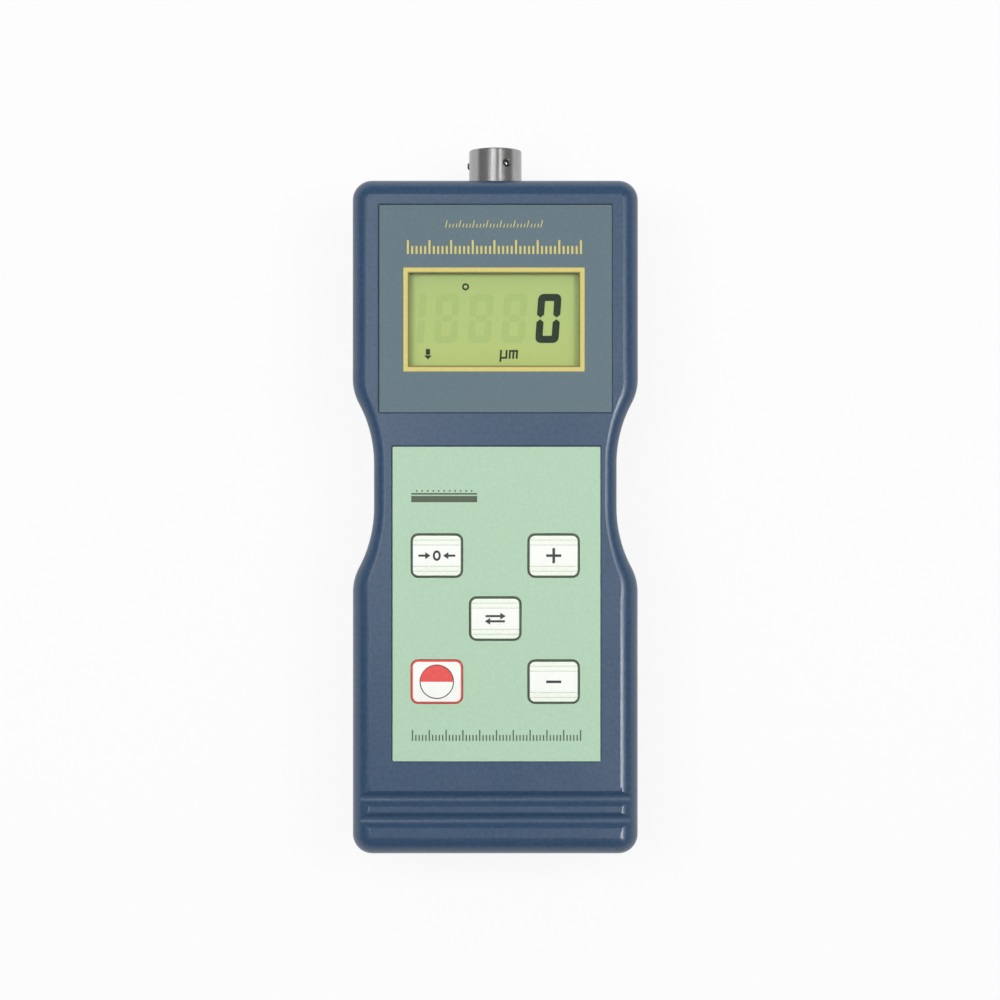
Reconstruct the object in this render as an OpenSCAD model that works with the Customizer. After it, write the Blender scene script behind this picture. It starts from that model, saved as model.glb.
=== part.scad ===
// Hand-held coating thickness gauge with a bayonet probe socket.
// It lies on its back: +X right, +Y towards the socket, +Z out of the face, in millimetres.
// The origin is the middle of the back face.

/* [Case] */
// Width of the head and of the lower body at the parting line
case_w = 69; // [67:0.5:76]
// Length of the case without the socket
case_l = 162; // [161:0.5:172]
// Depth of the case from back to face
case_h = 32; // [31.5:0.5:37]
// Width at the waist
waist_w = 58.7; // [58:0.1:63]
// Place of the waist along the case
waist_y = 7.6; // [5:0.2:10]
// Straight stretch of the waist
waist_straight = 10.5; // [4:0.5:16]
// Radius of the hollow at the waist
flank_hollow_r = 30; // [24:1:36]
// Radius of the shoulder above and below the waist
flank_shoulder_r = 13; // [9:0.5:17]
// Radius of the four corners
corner_r = 5; // [4.6:0.1:9]
// Rounding of the edge of the face
face_round = 4.4; // [3.4:0.1:4.8]
// Rounding of the edge of the back
back_round = 4; // [3:0.1:5]
// Taper of each side wall, from the parting line to the rounding
draft = 0.3; // [0.1:0.05:0.6]
// Thickness of the side walls
wall = 2.2; // [1.8:0.1:2.6]
// Thickness of the wall behind the face
face_wall = 2.4; // [2.2:0.1:3]
// Thickness of the back wall
back_wall = 2.2; // [2.1:0.1:2.8]
// Depth of the parting line below the face
parting_drop = 19; // [18.6:0.1:20]
// Chamfer that makes the parting groove
parting_chamfer = 0.3; // [0.1:0.05:0.5]
// Height of the locating lip of the rear cover
lip_h = 1.5; // [1:0.1:2]
// Thickness of the locating lip
lip_t = 1; // [0.8:0.1:1.4]

/* [Grip grooves] */
// Distance of the first groove from the lower end
groove_in = 14; // [13:0.1:16]
// Distance between the grooves
groove_pitch = 5.1; // [4:0.1:6]
// Number of grooves
groove_count = 2; // [1:1:2]
// Width of a groove
groove_w = 3.3; // [2:0.1:3.6]
// Depth of a groove
groove_depth = 1; // [0.4:0.05:1.2]

/* [Panels] */
// Depth of the two pockets in the face
pocket_depth = 0.8; // [0.7:0.05:1]
// Thickness of the display panel and of the keypad sheet
sheet_t = 0.6; // [0.4:0.05:0.65]
// Gap between a sheet and the side of its pocket
sheet_gap = 0.4; // [0.2:0.05:0.6]
// Corner radius of the sheets
sheet_r = 0.5; // [0.3:0.1:1]
// Width of the display panel
panel_w = 55.4; // [53:0.2:57]
// Length of the display panel
panel_l = 49.4; // [47:0.2:51]
// Distance of the display panel from the upper end
panel_in = 6.6; // [5.9:0.1:7.3]
// Distance between the display panel and the keypad sheet
sheet_space = 8.1; // [7:0.1:10]
// Width of the keypad sheet
keypad_w = 49.5; // [46:0.1:50]
// Distance of the keypad sheet from the lower end
keypad_in = 23; // [22:0.1:24]

/* [Window and display] */
// Width of the window
window_w = 40.4; // [38:0.2:42]
// Length of the window
window_l = 22; // [20:0.2:22.6]
// Distance of the middle of the window below the middle of the panel
window_drop = 2.6; // [2:0.1:2.9]
// Step from the panel's window to the opening behind it
window_step = 0.8; // [0.5:0.1:1]
// Width of the ledge that carries the lens
lens_ledge = 1.4; // [1:0.1:1.6]
// Thickness of the lens
lens_t = 0.8; // [0.6:0.05:1]
// Width of the display glass
glass_w = 46.4; // [46:0.1:46.8]
// Length of the front glass plate
glass_l = 29.6; // [29:0.1:30]
// Length of the contact ledge at each long edge of the glass
glass_ledge = 2.2; // [2:0.1:2.4]
// Thickness of one glass plate
glass_t = 1.1; // [0.7:0.1:1.4]
// Wall of the display holder
holder_wall = 1.4; // [1:0.1:1.5]
// Width of the elastomer strips
strip_t = 1.8; // [1.4:0.1:1.9]

/* [Keys] */
// Width of a key
key_w = 12.3; // [10:0.1:13]
// Length of a key
key_l = 10.4; // [8:0.1:11]
// Corner radius of a key
key_r = 1.7; // [1:0.1:2.5]
// Distance of the outer keys from the middle line
key_x = 13.9; // [13.6:0.1:15]
// Distance of the middle row of keys below the middle of the keypad sheet
key_drop = 3.55; // [2.5:0.05:4.5]
// Distance between the rows
key_pitch = 15; // [14:0.1:16]
// Height of a key above its sheet
key_rise = 0.55; // [0.3:0.05:1]
// Radius of the crown of a key
key_crown_r = 40; // [30:1:80]
// Travel of a key
key_travel = 0.6; // [0.4:0.05:0.7]
// Width of the flange that keeps a key in
key_lip = 0.8; // [0.6:0.05:0.9]
// Thickness of that flange
key_lip_t = 0.9; // [0.7:0.05:1.1]
// Side of a switch base
switch_w = 6.2; // [5.5:0.1:7]
// Height of a switch base
switch_h = 3.6; // [3.2:0.1:4]
// Radius of a switch plunger
plunger_r = 1.7; // [1.3:0.1:2]
// Height of a plunger above its base
plunger_rise = 1.6; // [1.2:0.1:2]
// Depth of a plunger in its base
plunger_depth = 0.8; // [0.6:0.1:1]

/* [Board] */
// Distance from the inside of the face to the board
board_drop = 8; // [7.8:0.1:8.4]
// Thickness of the board
board_t = 1.6; // [1:0.1:1.6]
// Distance from the display holder to the side of the board
board_edge = 0.35; // [0.15:0.05:0.45]
// Distance of the board from the upper end of the case
board_top_in = 11; // [10.8:0.1:11.2]
// Distance of the board from the lower end of the case
board_low_in = 19; // [18:0.1:19.5]
// Distance of the board screws from the sides of the board
board_screw_side = 3.5; // [3:0.1:4.5]
// Distance of the board screws from the ends of the board
board_screw_in = 3.2; // [2.8:0.1:3.2]
// Radius of the board bosses
board_boss_r = 2.4; // [2:0.1:2.5]
// Core radius of a board screw
board_screw_r = 0.95; // [0.8:0.05:1.1]
// Side of the processor chip
processor_w = 14; // [10:0.5:18]
// Thickness of the chips
chip_t = 1.6; // [1:0.1:2]
// Width of the amplifier chip
amplifier_w = 8.7; // [5:0.1:10]
// Length of the amplifier chip
amplifier_l = 4; // [3:0.1:6]
// Width of the crystal's can
crystal_w = 4.6; // [3:0.1:5]
// Length of the crystal's can
crystal_l = 11; // [8:0.1:12]
// Height of the crystal's can
crystal_h = 3.5; // [2:0.1:4]
// Radius of the capacitor
capacitor_r = 3; // [2:0.1:3.5]
// Height of the capacitor
capacitor_h = 5.5; // [4:0.1:7]

/* [Probe socket] */
// Depth of the socket axis below the face
socket_drop = 11.4; // [10.5:0.1:11.6]
// Radius of the socket shell
socket_r = 6.4; // [6:0.05:6.5]
// Height of the shell above the case
socket_rise = 7.9; // [7:0.1:11]
// Radius of the bore
socket_bore_r = 5.1; // [4.9:0.05:5.15]
// Depth of the bore
socket_bore_depth = 6.2; // [5:0.1:7]
// Radius of the insert
insert_r = 4.35; // [4:0.05:4.5]
// Radius of the inner flange
socket_flange_r = 8.4; // [8:0.1:8.6]
// Thickness of the inner flange
socket_flange_t = 1.6; // [1.2:0.1:2]
// Radius of a bayonet pin
bayonet_r = 1.05; // [0.8:0.05:1.2]
// Height of a bayonet pin above the shell
bayonet_rise = 0.45; // [0.3:0.05:0.6]
// Height of the bayonet pins above the case
bayonet_up = 4.3; // [4:0.1:6]
// Turn of the first pin from the front
bayonet_turn = 26; // [0:1:60]
// Number of bayonet pins
bayonet_count = 3; // [2:1:3]
// Number of contacts
contact_count = 4; // [2:2:4]
// Radius of the circle of contacts
contact_ring_r = 2.4; // [2:0.1:2.6]
// Radius of a contact
contact_r = 0.75; // [0.6:0.05:0.9]

/* [Battery bay] */
// Diameter of a cell
cell_d = 10.5; // [10:0.1:10.6]
// Length of a cell with its nub
cell_l = 44.5; // [43:0.1:45]
// Distance between the cells
cell_pitch = 11; // [10.9:0.05:11.1]
// Radius of the nub of a cell
nub_r = 1.9; // [1.5:0.1:2.5]
// Height of the nub of a cell
nub_h = 1.1; // [0.8:0.1:1.4]
// Distance of the bay from the lower end of the case
bay_in = 5; // [4.6:0.1:5.4]
// Thickness of the walls of the bay
bay_wall = 1.4; // [1:0.1:1.5]
// Length of a battery spring as it sits
spring_l = 4; // [3:0.1:5]
// Wire radius of a battery spring
spring_wire_r = 0.35; // [0.25:0.05:0.45]
// Turns of a battery spring
spring_turns = 3; // [2:0.5:4]
// Thickness of a contact plate
plate_t = 0.4; // [0.3:0.05:0.5]
// Width of the battery door at the back
door_w = 43.6; // [42:0.1:43.8]
// Thickness of the battery door
door_t = 1.9; // [1.7:0.05:1.9]
// Width of the tongues at the sides of the door
door_tongue = 1.1; // [0.9:0.05:1.2]
// Ridges of the thumb grip
grip_ridges = 5; // [3:1:6]
// Width of the thumb grip
grip_w = 22; // [16:0.5:30]
// Length of the thumb grip
grip_l = 11; // [8:0.5:12]

/* [Case screws] */
// Distance of the screws from the sides of the case
screw_in_x = 6; // [5.8:0.1:6.2]
// Distance of the screws from the ends of the case
screw_in_y = 8.5; // [8.3:0.1:9]
// Radius of the screw bosses
boss_r = 4; // [3.8:0.05:4.1]
// Radius of a screw head
screw_head_r = 2.6; // [2.2:0.1:2.7]
// Height of a screw head
screw_head_h = 2; // [1.6:0.1:2.4]
// Core radius of a case screw
screw_r = 1.2; // [1:0.05:1.4]
// Depth of the screw heads below the back
screw_sink = 5; // [4:0.1:6]

/* [Hidden] */
$fn = 96;
// Small overrun of a cut
eps = 0.5;

// Clearances
lip_gap = 0.15;
seat_gap = 0.1;
fit_gap = 0.05;
key_gap = 0.2;
slide_gap = 0.2;
hole_gap = 0.25;
cell_gap = 0.25;
board_gap = 1;

// Steps of the round stretches of the outline and of the rounded edges
corner_steps = 6;
shoulder_steps = 4;
hollow_steps = 5;
edge_steps = 6;
inner_edge_steps = 3;
// Smallest corner inside
inner_corner_r = 0.6;

// Places along the case, from its ends
panel_y = case_l / 2 - panel_in - panel_l / 2;
window_y = panel_y - window_drop;
keypad_top = panel_y - panel_l / 2 - sheet_space;
keypad_low = keypad_in - case_l / 2;
keypad_l = keypad_top - keypad_low;
keypad_y = (keypad_top + keypad_low) / 2;
key_y = keypad_y - key_drop + key_pitch;
groove_y = groove_in - case_l / 2;
board_top_y = case_l / 2 - board_top_in;
board_low_y = board_low_in - case_l / 2;
bay_low_y = bay_in - case_l / 2;

// Heights, from the face inwards
pocket_z = case_h - pocket_depth;
sheet_z = pocket_z + sheet_t;
inner_z = case_h - face_wall;
lens_z = pocket_z - lens_t;
glass_top = inner_z - hole_gap;
glass_step = glass_top - glass_t;
glass_low = glass_step - glass_t;
board_top = inner_z - board_drop;
board_low = board_top - board_t;
key_top = sheet_z + key_rise;
key_lip_z = inner_z - seat_gap - key_lip_t;
switch_z = board_top + switch_h;
plunger_top = switch_z + plunger_rise;

socket_z = case_h - socket_drop;
parting_z = case_h - parting_drop;
// Top of the locating lip
lip_top = parting_z + lip_h;

// Width of the board, from the display holder that it carries
board_w = glass_w + 2 * (fit_gap + holder_wall + board_edge);
board_screw_x = board_w / 2 - board_screw_side;

// Flanks of the outline: a shoulder arc and a hollow arc that meet in one tangent
flank_sum_r = flank_hollow_r + flank_shoulder_r;
flank_angle = acos(1 - (case_w - waist_w) / 2 / flank_sum_r);
flank_run = flank_sum_r * sin(flank_angle);

// Battery bay, from the back inwards
door_drop = 0.15;
door_top = door_drop + door_t;
rail_top = door_top + slide_gap - fit_gap;
rail_lip = door_top / 2;
tongue_z = rail_lip + slide_gap;
ledge_t = 1.2;
ledge_top = rail_top + ledge_t;
ledge_l = 4;
door_half = door_w / 2;
button_h = 0.6;
cell_z = rail_top + fit_gap + cell_d / 2;
bay_top_y = bay_low_y + plate_t * 2 + spring_l + cell_l + button_h;
door_end_y = bay_top_y + ledge_l;
cell_count = 4;
bay_half = cell_pitch * (cell_count - 1) / 2 + cell_d / 2 + 2 * cell_gap;
bay_ceiling = cell_z + cell_d / 2 + cell_gap;
bay_outer = bay_half + bay_wall;
rail_outer = bay_outer + bay_wall;
bay_outer_top = bay_ceiling + bay_wall;
// Top of the rear cover
rear_top = max(lip_top, bay_outer_top) + eps;
// Inset of the springs and of the contact plates from the edge of a cell
spring_in = 1.6;
plate_in = 0.8;
spring_steps = 14;
spring_sides = 6;
spring_taper = 0.75;
tab_w = 2.6;
tab_rise = 2.6;
tab_top = bay_outer_top + tab_rise;

// Screws
screw_x = case_w / 2 - screw_in_x;
screw_y = case_l / 2 - screw_in_y;
screw_tip = inner_z - face_wall;
cross_l = 3.2;
cross_w = 0.7;
board_screw_tip = inner_z - face_wall / 2;
board_screw_head_r = board_screw_r * 2;
board_screw_head_h = 1.4;
// Place of the small parts above the processor
part_row = 14;

// Socket
socket_end = case_l / 2 + socket_rise;
flange_top = case_l / 2 - wall - draft - seat_gap;
flange_low = flange_top - socket_flange_t;
socket_tail = 4;
tail_end = flange_low - socket_tail;
bore_floor = socket_end - socket_bore_depth;
tail_r = (socket_r + insert_r) / 2;
contact_tail = 1.2;
contact_end = tail_end - contact_tail;
contact_bore_r = 0.45;
rim_chamfer = 0.3;
keyway_w = 1;
keyway_depth = 0.45;
keyway_count = 5;
bayonet_depth = 0.6;
cradle_t = 1.5;
cradle_side = 3;
cradle_half = socket_flange_r + cradle_side;

// Leads
lead_r = 0.6;
socket_lead_r = 0.45;
lead_sides = 8;
lead_steps = 10;
lead_in = 2.5;
socket_lead_in = 3;
lead_foot_y = board_low_y + lead_in;
socket_lead_foot_y = board_top_y - socket_lead_in;
lead_sag = 3;

KEYS = ["zero", "plus", "mode", "power", "minus"];
KEY_SIDE = [-1, 1, 0, -1, 1];
KEY_ROW_INDEX = [0, 0, 1, 2, 2];
LOWER_CONTACTS = ["minus", "bridge", "plus"];
LOWER_CELL_INDEX = [[0], [1, 2], [3]];
UPPER_CONTACTS = ["left", "right"];
UPPER_CELL_INDEX = [[0, 1], [2, 3]];

// Points of an arc about c, from one angle to another
function arc(c, r, from, to, steps) =
    [for (i = [0:steps]) let (a = from + (to - from) * i / steps) c + r * [cos(a), sin(a)]];

function tail(list) = [for (i = [1:len(list) - 1]) list[i]];

// Right half of the case outline, from the bottom up, set in by inset
function half_outline(inset) =
    let (
        w = case_w / 2 - inset,
        l = case_l / 2 - inset,
        r = max(corner_r - inset, inner_corner_r),
        hollow = flank_hollow_r + inset,
        shoulder = flank_shoulder_r - inset,
        hollow_x = waist_w / 2 + flank_hollow_r,
        shoulder_x = case_w / 2 - flank_shoulder_r,
        low = waist_y - waist_straight / 2,
        high = waist_y + waist_straight / 2
    )
    concat(
        arc([w - r, r - l], r, -90, 0, corner_steps),
        arc([shoulder_x, low - flank_run], shoulder, 0, flank_angle, shoulder_steps),
        tail(arc([hollow_x, low], hollow, 180 + flank_angle, 180, hollow_steps)),
        arc([hollow_x, high], hollow, 180, 180 - flank_angle, hollow_steps),
        tail(arc([shoulder_x, high + flank_run], shoulder, -flank_angle, 0, shoulder_steps)),
        arc([w - r, l - r], r, 0, 90, corner_steps)
    );

function outline(inset) =
    let (half = half_outline(inset), last = len(half) - 1)
    concat(half, [for (i = [last:-1:0]) [-half[i].x, half[i].y]]);

// Loft through sections [inset, z], listed from the lowest up
module loft(sections) {
    n = len(half_outline(0));
    m = 2 * n;
    top = (len(sections) - 1) * m;
    points = [for (s = sections) each [for (p = outline(s[0])) [p.x, p.y, s[1]]]];
    sides = [
        for (k = [0:len(sections) - 2], i = [0:m - 1])
            let (a = k * m + i, b = k * m + (i + 1) % m)
            each [[a, a + m, b + m], [a, b + m, b]]
    ];
    floor_faces = [for (i = [0:n - 2]) [i, i + 1, m - 2 - i, m - 1 - i]];
    top_faces = [for (i = [0:n - 2]) [top + m - 1 - i, top + m - 2 - i, top + i + 1, top + i]];
    polyhedron(points, concat(floor_faces, sides, top_faces), convexity = 6);
}

// Sections of an edge rounding that ends on the face (up) or on the back (down)
function face_edge(base, r, z, steps) =
    [for (i = [0:steps]) let (a = 90 * i / steps) [base + r * (1 - cos(a)), z - r * (1 - sin(a))]];
function back_edge(base, r, z, steps) =
    [for (i = [steps:-1:0]) let (a = 90 * i / steps) [base + r * (1 - cos(a)), z + r * (1 - sin(a))]];

// Rectangle with round corners, and a plate of that outline between two heights
module round_rect(w, l, r) {
    polygon(concat(
        arc([w / 2 - r, l / 2 - r], r, 0, 90, corner_steps),
        arc([r - w / 2, l / 2 - r], r, 90, 180, corner_steps),
        arc([r - w / 2, r - l / 2], r, 180, 270, corner_steps),
        arc([w / 2 - r, r - l / 2], r, 270, 360, corner_steps)
    ));
}
module plate(w, l, r, low, high) {
    translate([0, 0, low])
        linear_extrude(high - low)
            round_rect(w, l, r);
}

// Upright rod and hole between two heights
module rod(r, low, high) {
    translate([0, 0, low])
        cylinder(r = r, h = high - low);
}

// Box from a lower to an upper corner
module block(low, high) {
    translate(low)
        cube(high - low);
}

// Rod along the socket axis between two places along Y
module socket_rod(r, low, high, r_end = undef) {
    translate([0, low, socket_z])
        rotate([-90, 0, 0])
            cylinder(r1 = r, r2 = is_undef(r_end) ? r : r_end, h = high - low);
}

// Round wire along a path, with ref never along it
module wire(path, r, sides, ref) {
    last = len(path) - 1;
    points = [
        for (i = [0:last])
            let (
                t = path[min(i + 1, last)] - path[max(i - 1, 0)],
                u = cross(t, ref) / norm(cross(t, ref)),
                v = cross(t, u) / norm(cross(t, u))
            )
            each [for (k = [0:sides - 1]) path[i] + r * (cos(360 * k / sides) * u + sin(360 * k / sides) * v)]
    ];
    walls = [
        for (i = [0:last - 1], k = [0:sides - 1])
            let (a = i * sides + k, b = i * sides + (k + 1) % sides)
            each [[a, b, b + sides], [a, b + sides, a + sides]]
    ];
    start = [for (k = [sides - 1:-1:0]) k];
    finish = [for (k = [0:sides - 1]) last * sides + k];
    polyhedron(points, concat([start], walls, [finish]), convexity = 4);
}

// Points of a cubic curve with four control points
function curve(p, steps) =
    [
        for (i = [0:steps])
            let (t = i / steps, s = 1 - t)
            s * s * s * p[0] + 3 * s * s * t * p[1] + 3 * s * t * t * p[2] + t * t * t * p[3]
    ];

function key_place(i) = [KEY_SIDE[i] * key_x, key_y - KEY_ROW_INDEX[i] * key_pitch, 0];
function cell_x(i) = (i - (cell_count - 1) / 2) * cell_pitch;
function plus_up(i) = i % 2 == 0;
function contact_place(i) =
    let (a = 360 * (i + 0.5) / contact_count) contact_ring_r * [cos(a), 0, sin(a)];

module at_screws() {
    for (x = [-screw_x, screw_x], y = [-screw_y, screw_y])
        translate([x, y, 0])
            children();
}
module at_board_screws() {
    ends = [board_low_y + board_screw_in, board_top_y - board_screw_in];
    for (x = [-board_screw_x, board_screw_x], y = ends)
        translate([x, y, 0])
            children();
}
module at_keys() {
    for (i = [0:len(KEYS) - 1])
        translate(key_place(i))
            children();
}

// Outer form of each cover
module face_form() {
    loft(concat(
        [[parting_chamfer, parting_z], [0, parting_z + parting_chamfer]],
        face_edge(draft, face_round, case_h, edge_steps)
    ));
}
module back_form() {
    loft(concat(
        back_edge(draft, back_round, 0, edge_steps),
        [[0, parting_z - parting_chamfer], [parting_chamfer, parting_z]],
        [[wall + lip_gap, parting_z], [wall + lip_gap, rear_top]]
    ));
}

// Hollow inside each cover, before its bosses and ribs are left standing
module face_hollow() {
    loft(concat(
        [[wall, parting_z - eps]],
        face_edge(wall + draft, face_round - wall, inner_z, inner_edge_steps)
    ));
}
module back_hollow() {
    lip_in = wall + lip_gap + lip_t;
    loft(concat(
        back_edge(wall + draft, back_round - wall, back_wall, inner_edge_steps),
        [[wall, parting_z - 2 * lip_h], [lip_in, parting_z - lip_h]],
        [[lip_in, lip_top], [wall, lip_top]],
        [[wall, rear_top + eps]]
    ));
}

// Cradle that holds the flange of the socket against the end wall
module cradle() {
    difference() {
        block(
            [-cradle_half, flange_low - seat_gap - cradle_t, lip_top + slide_gap],
            [cradle_half, flange_low - seat_gap, case_h]
        );
        socket_rod(tail_r + hole_gap, tail_end - eps, flange_top);
        block(
            [-tail_r - hole_gap, tail_end - eps, parting_z - eps],
            [tail_r + hole_gap, flange_top, socket_z]
        );
    }
}

// Pocket in the face for a sheet
module pocket(y, w, l) {
    translate([0, y, 0])
        plate(w + 2 * sheet_gap, l + 2 * sheet_gap, sheet_r + sheet_gap, pocket_z, case_h + eps);
}

module front_cover() {
    groove_r = (groove_w * groove_w / 4 + groove_depth * groove_depth) / (2 * groove_depth);
    color([0.31, 0.38, 0.48])
    difference() {
        face_form();
        difference() {
            face_hollow();
            at_screws()
                rod(boss_r, lip_top + slide_gap, case_h);
            at_board_screws()
                rod(board_boss_r, board_top, case_h);
            cradle();
        }
        pocket(panel_y, panel_w, panel_l);
        pocket(keypad_y, keypad_w, keypad_l);
        translate([0, window_y, 0]) {
            plate(
                window_w + 2 * (window_step + lens_ledge + fit_gap),
                window_l + 2 * (window_step + lens_ledge + fit_gap),
                sheet_r, lens_z, case_h
            );
            plate(window_w + 2 * window_step, window_l + 2 * window_step, sheet_r, inner_z - eps, case_h);
        }
        at_keys()
            plate(key_w + 2 * key_gap, key_l + 2 * key_gap, key_r + key_gap, inner_z - eps, case_h);
        for (i = [0:groove_count - 1])
            translate([-case_w, groove_y - i * groove_pitch, case_h - groove_depth + groove_r])
                rotate([0, 90, 0])
                    cylinder(r = groove_r, h = 2 * case_w);
        at_screws()
            rod(screw_r, parting_z, screw_tip);
        at_board_screws()
            rod(board_screw_r + fit_gap, board_low, board_screw_tip);
        socket_rod(socket_r + fit_gap, flange_low, case_l / 2 + eps);
        socket_rod(socket_flange_r + hole_gap, flange_low - seat_gap, flange_top + seat_gap);
    }
}

// Space that the battery door slides in, widened by gap
module door_space(gap, low) {
    far = -case_l;
    block([-door_half - gap, far, low], [door_half + gap, door_end_y + gap, door_top + gap - fit_gap]);
    block(
        [-door_half - door_tongue - gap, far, tongue_z - gap],
        [door_half + door_tongue + gap, door_end_y + gap, door_top + gap - fit_gap]
    );
}

module rear_cover() {
    color([0.28, 0.35, 0.45])
    difference() {
        back_form();
        difference() {
            back_hollow();
            at_screws()
                rod(boss_r, 0, lip_top);
            block([-bay_outer, -case_l / 2, 0], [bay_outer, bay_top_y + bay_wall, bay_outer_top]);
            block([-rail_outer, -case_l / 2, 0], [rail_outer, door_end_y + bay_wall, ledge_top]);
        }
        block([-bay_half, bay_low_y, 0], [bay_half, bay_top_y, bay_ceiling]);
        door_space(slide_gap, -eps);
        for (i = [0, cell_count - 1])
            block(
                [cell_x(i) - tab_w / 2 - hole_gap, bay_low_y, bay_ceiling - eps],
                [cell_x(i) + tab_w / 2 + hole_gap, bay_low_y + plate_t + hole_gap, bay_outer_top + eps]
            );
        at_screws() {
            rod(screw_head_r + hole_gap, -eps, screw_sink);
            rod(screw_r + hole_gap, 0, lip_top + eps);
        }
        block(
            [-socket_flange_r - eps, flange_low - 2 * eps, parting_z],
            [socket_flange_r + eps, case_l / 2, rear_top + eps]
        );
        socket_rod(socket_flange_r + hole_gap, flange_low - hole_gap, flange_top + hole_gap);
    }
}

module battery_door() {
    grip_y = door_end_y - grip_l;
    grip_depth = door_t / 3;
    pitch = grip_l / grip_ridges;
    color([0.28, 0.35, 0.45])
    difference() {
        intersection() {
            back_form();
            door_space(0, door_drop);
        }
        difference() {
            translate([0, grip_y, 0])
                plate(grip_w, grip_l, grip_l / 4, -eps, door_drop + grip_depth);
            for (i = [0:grip_ridges - 1])
                translate([-grip_w / 2, grip_y + (i - (grip_ridges - 1) / 2) * pitch, door_drop + grip_depth])
                    rotate([0, 90, 0])
                        cylinder(r = grip_depth, h = grip_w);
        }
    }
}

module case_screws() {
    color([0.62, 0.62, 0.64])
    at_screws()
        difference() {
            union() {
                rod(screw_head_r, screw_sink - screw_head_h, screw_sink);
                rod(screw_r - fit_gap, screw_sink, screw_tip - eps);
            }
            for (turn = [0, 90])
                rotate([0, 0, turn])
                    block(
                        [-cross_l / 2, -cross_w / 2, screw_sink - screw_head_h - eps],
                        [cross_l / 2, cross_w / 2, screw_sink - screw_head_h / 2]
                    );
        }
}

module display_panel() {
    color([0.42, 0.49, 0.52])
    difference() {
        translate([0, panel_y, 0])
            plate(panel_w, panel_l, sheet_r, pocket_z, sheet_z);
        translate([0, window_y, 0])
            plate(window_w, window_l, sheet_r, pocket_z - eps, sheet_z + eps);
    }
}

module window_lens() {
    rim = 2 * (window_step + lens_ledge);
    color([0.85, 0.9, 0.88, 0.3])
    translate([0, window_y, 0])
        plate(window_w + rim, window_l + rim, sheet_r, lens_z, pocket_z);
}

module keypad_sheet() {
    color([0.72, 0.83, 0.73])
    difference() {
        translate([0, keypad_y, 0])
            plate(keypad_w, keypad_l, sheet_r, pocket_z, sheet_z);
        at_keys()
            plate(key_w + 2 * key_gap, key_l + 2 * key_gap, key_r + key_gap, pocket_z - eps, sheet_z + eps);
    }
}

module key_cap(i) {
    color([0.97, 0.98, 0.95])
    translate(key_place(i)) {
        intersection() {
            plate(key_w, key_l, key_r, key_lip_z, key_top + eps);
            translate([-key_w, 0, key_top - key_crown_r])
                rotate([0, 90, 0])
                    cylinder(r = key_crown_r, h = 2 * key_w);
        }
        plate(key_w + 2 * key_lip, key_l + 2 * key_lip, key_r, key_lip_z, key_lip_z + key_lip_t);
        rod(plunger_r, plunger_top, key_lip_z + key_lip_t);
    }
}

module key_plunger(i) {
    color([0.85, 0.3, 0.25])
    translate(key_place(i))
        rod(plunger_r, switch_z - plunger_depth, plunger_top);
}

module key_switch(i) {
    well = switch_z - plunger_depth - key_travel - hole_gap;
    color([0.12, 0.12, 0.13])
    translate(key_place(i))
        difference() {
            plate(switch_w, switch_w, inner_corner_r, board_top, switch_z);
            rod(plunger_r + key_gap, well, switch_z + eps);
        }
}

module display_glass() {
    color([0.7, 0.78, 0.5])
    translate([0, window_y, 0]) {
        plate(glass_w, glass_l, inner_corner_r, glass_step, glass_top);
        plate(glass_w, glass_l - 2 * glass_ledge, inner_corner_r, glass_low, glass_step);
    }
}

// Middle of an elastomer strip, above or below the middle of the window
strip_y = glass_l / 2 - glass_ledge / 2;
strip_l = glass_w - 2 * holder_wall;

module display_holder() {
    opening_l = glass_l - 2 * glass_ledge - 2 * holder_wall;
    color([0.2, 0.2, 0.21])
    translate([0, window_y, 0])
        difference() {
            plate(
                glass_w + 2 * (fit_gap + holder_wall), glass_l + 2 * (fit_gap + holder_wall),
                inner_corner_r, board_top, glass_top
            );
            plate(glass_w + 2 * fit_gap, glass_l + 2 * fit_gap, inner_corner_r, glass_step, glass_top + eps);
            plate(
                glass_w + 2 * fit_gap, glass_l - 2 * glass_ledge + 2 * fit_gap,
                inner_corner_r, glass_low, glass_top
            );
            plate(glass_w - 2 * holder_wall, opening_l, inner_corner_r, board_top - eps, glass_top);
            for (side = [-1, 1])
                translate([0, side * strip_y, 0])
                    plate(
                        strip_l + 2 * fit_gap, strip_t + 2 * fit_gap,
                        fit_gap * 2, board_top - eps, glass_top
                    );
        }
}

module contact_strip(side) {
    color([0.25, 0.25, 0.27])
    translate([0, window_y + side * strip_y, 0])
        plate(strip_l, strip_t, fit_gap * 2, board_top, glass_step);
}

module main_board() {
    mid_y = (board_top_y + board_low_y) / 2;
    color([0.13, 0.4, 0.22])
    difference() {
        intersection() {
            translate([0, mid_y, 0])
                plate(board_w, board_top_y - board_low_y, inner_corner_r, board_low, board_top);
            translate([0, 0, board_low - eps])
                linear_extrude(board_t + 2 * eps)
                    polygon(outline(wall + draft + board_gap));
        }
        at_board_screws()
            rod(board_screw_r + hole_gap, board_low - eps, board_top + eps);
    }
}

module board_screws() {
    color([0.62, 0.62, 0.64])
    at_board_screws() {
        rod(board_screw_head_r, board_low - board_screw_head_h, board_low);
        rod(board_screw_r, board_low, board_screw_tip - eps);
    }
}

// Package on the rear side of the board
module chip(x, y, w, l, h) {
    translate([x, y, 0])
        plate(w, l, inner_corner_r, board_low - h, board_low);
}

module processor_chip() {
    color([0.1, 0.1, 0.11])
    chip(0, waist_y, processor_w, processor_w, chip_t);
}

module amplifier_chip() {
    color([0.1, 0.1, 0.11])
    chip(0, window_y - glass_l / 2, amplifier_w, amplifier_l, chip_t);
}

module crystal() {
    color([0.75, 0.75, 0.77])
    chip(board_w / 4, waist_y + part_row, crystal_w, crystal_l, crystal_h);
}

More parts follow.
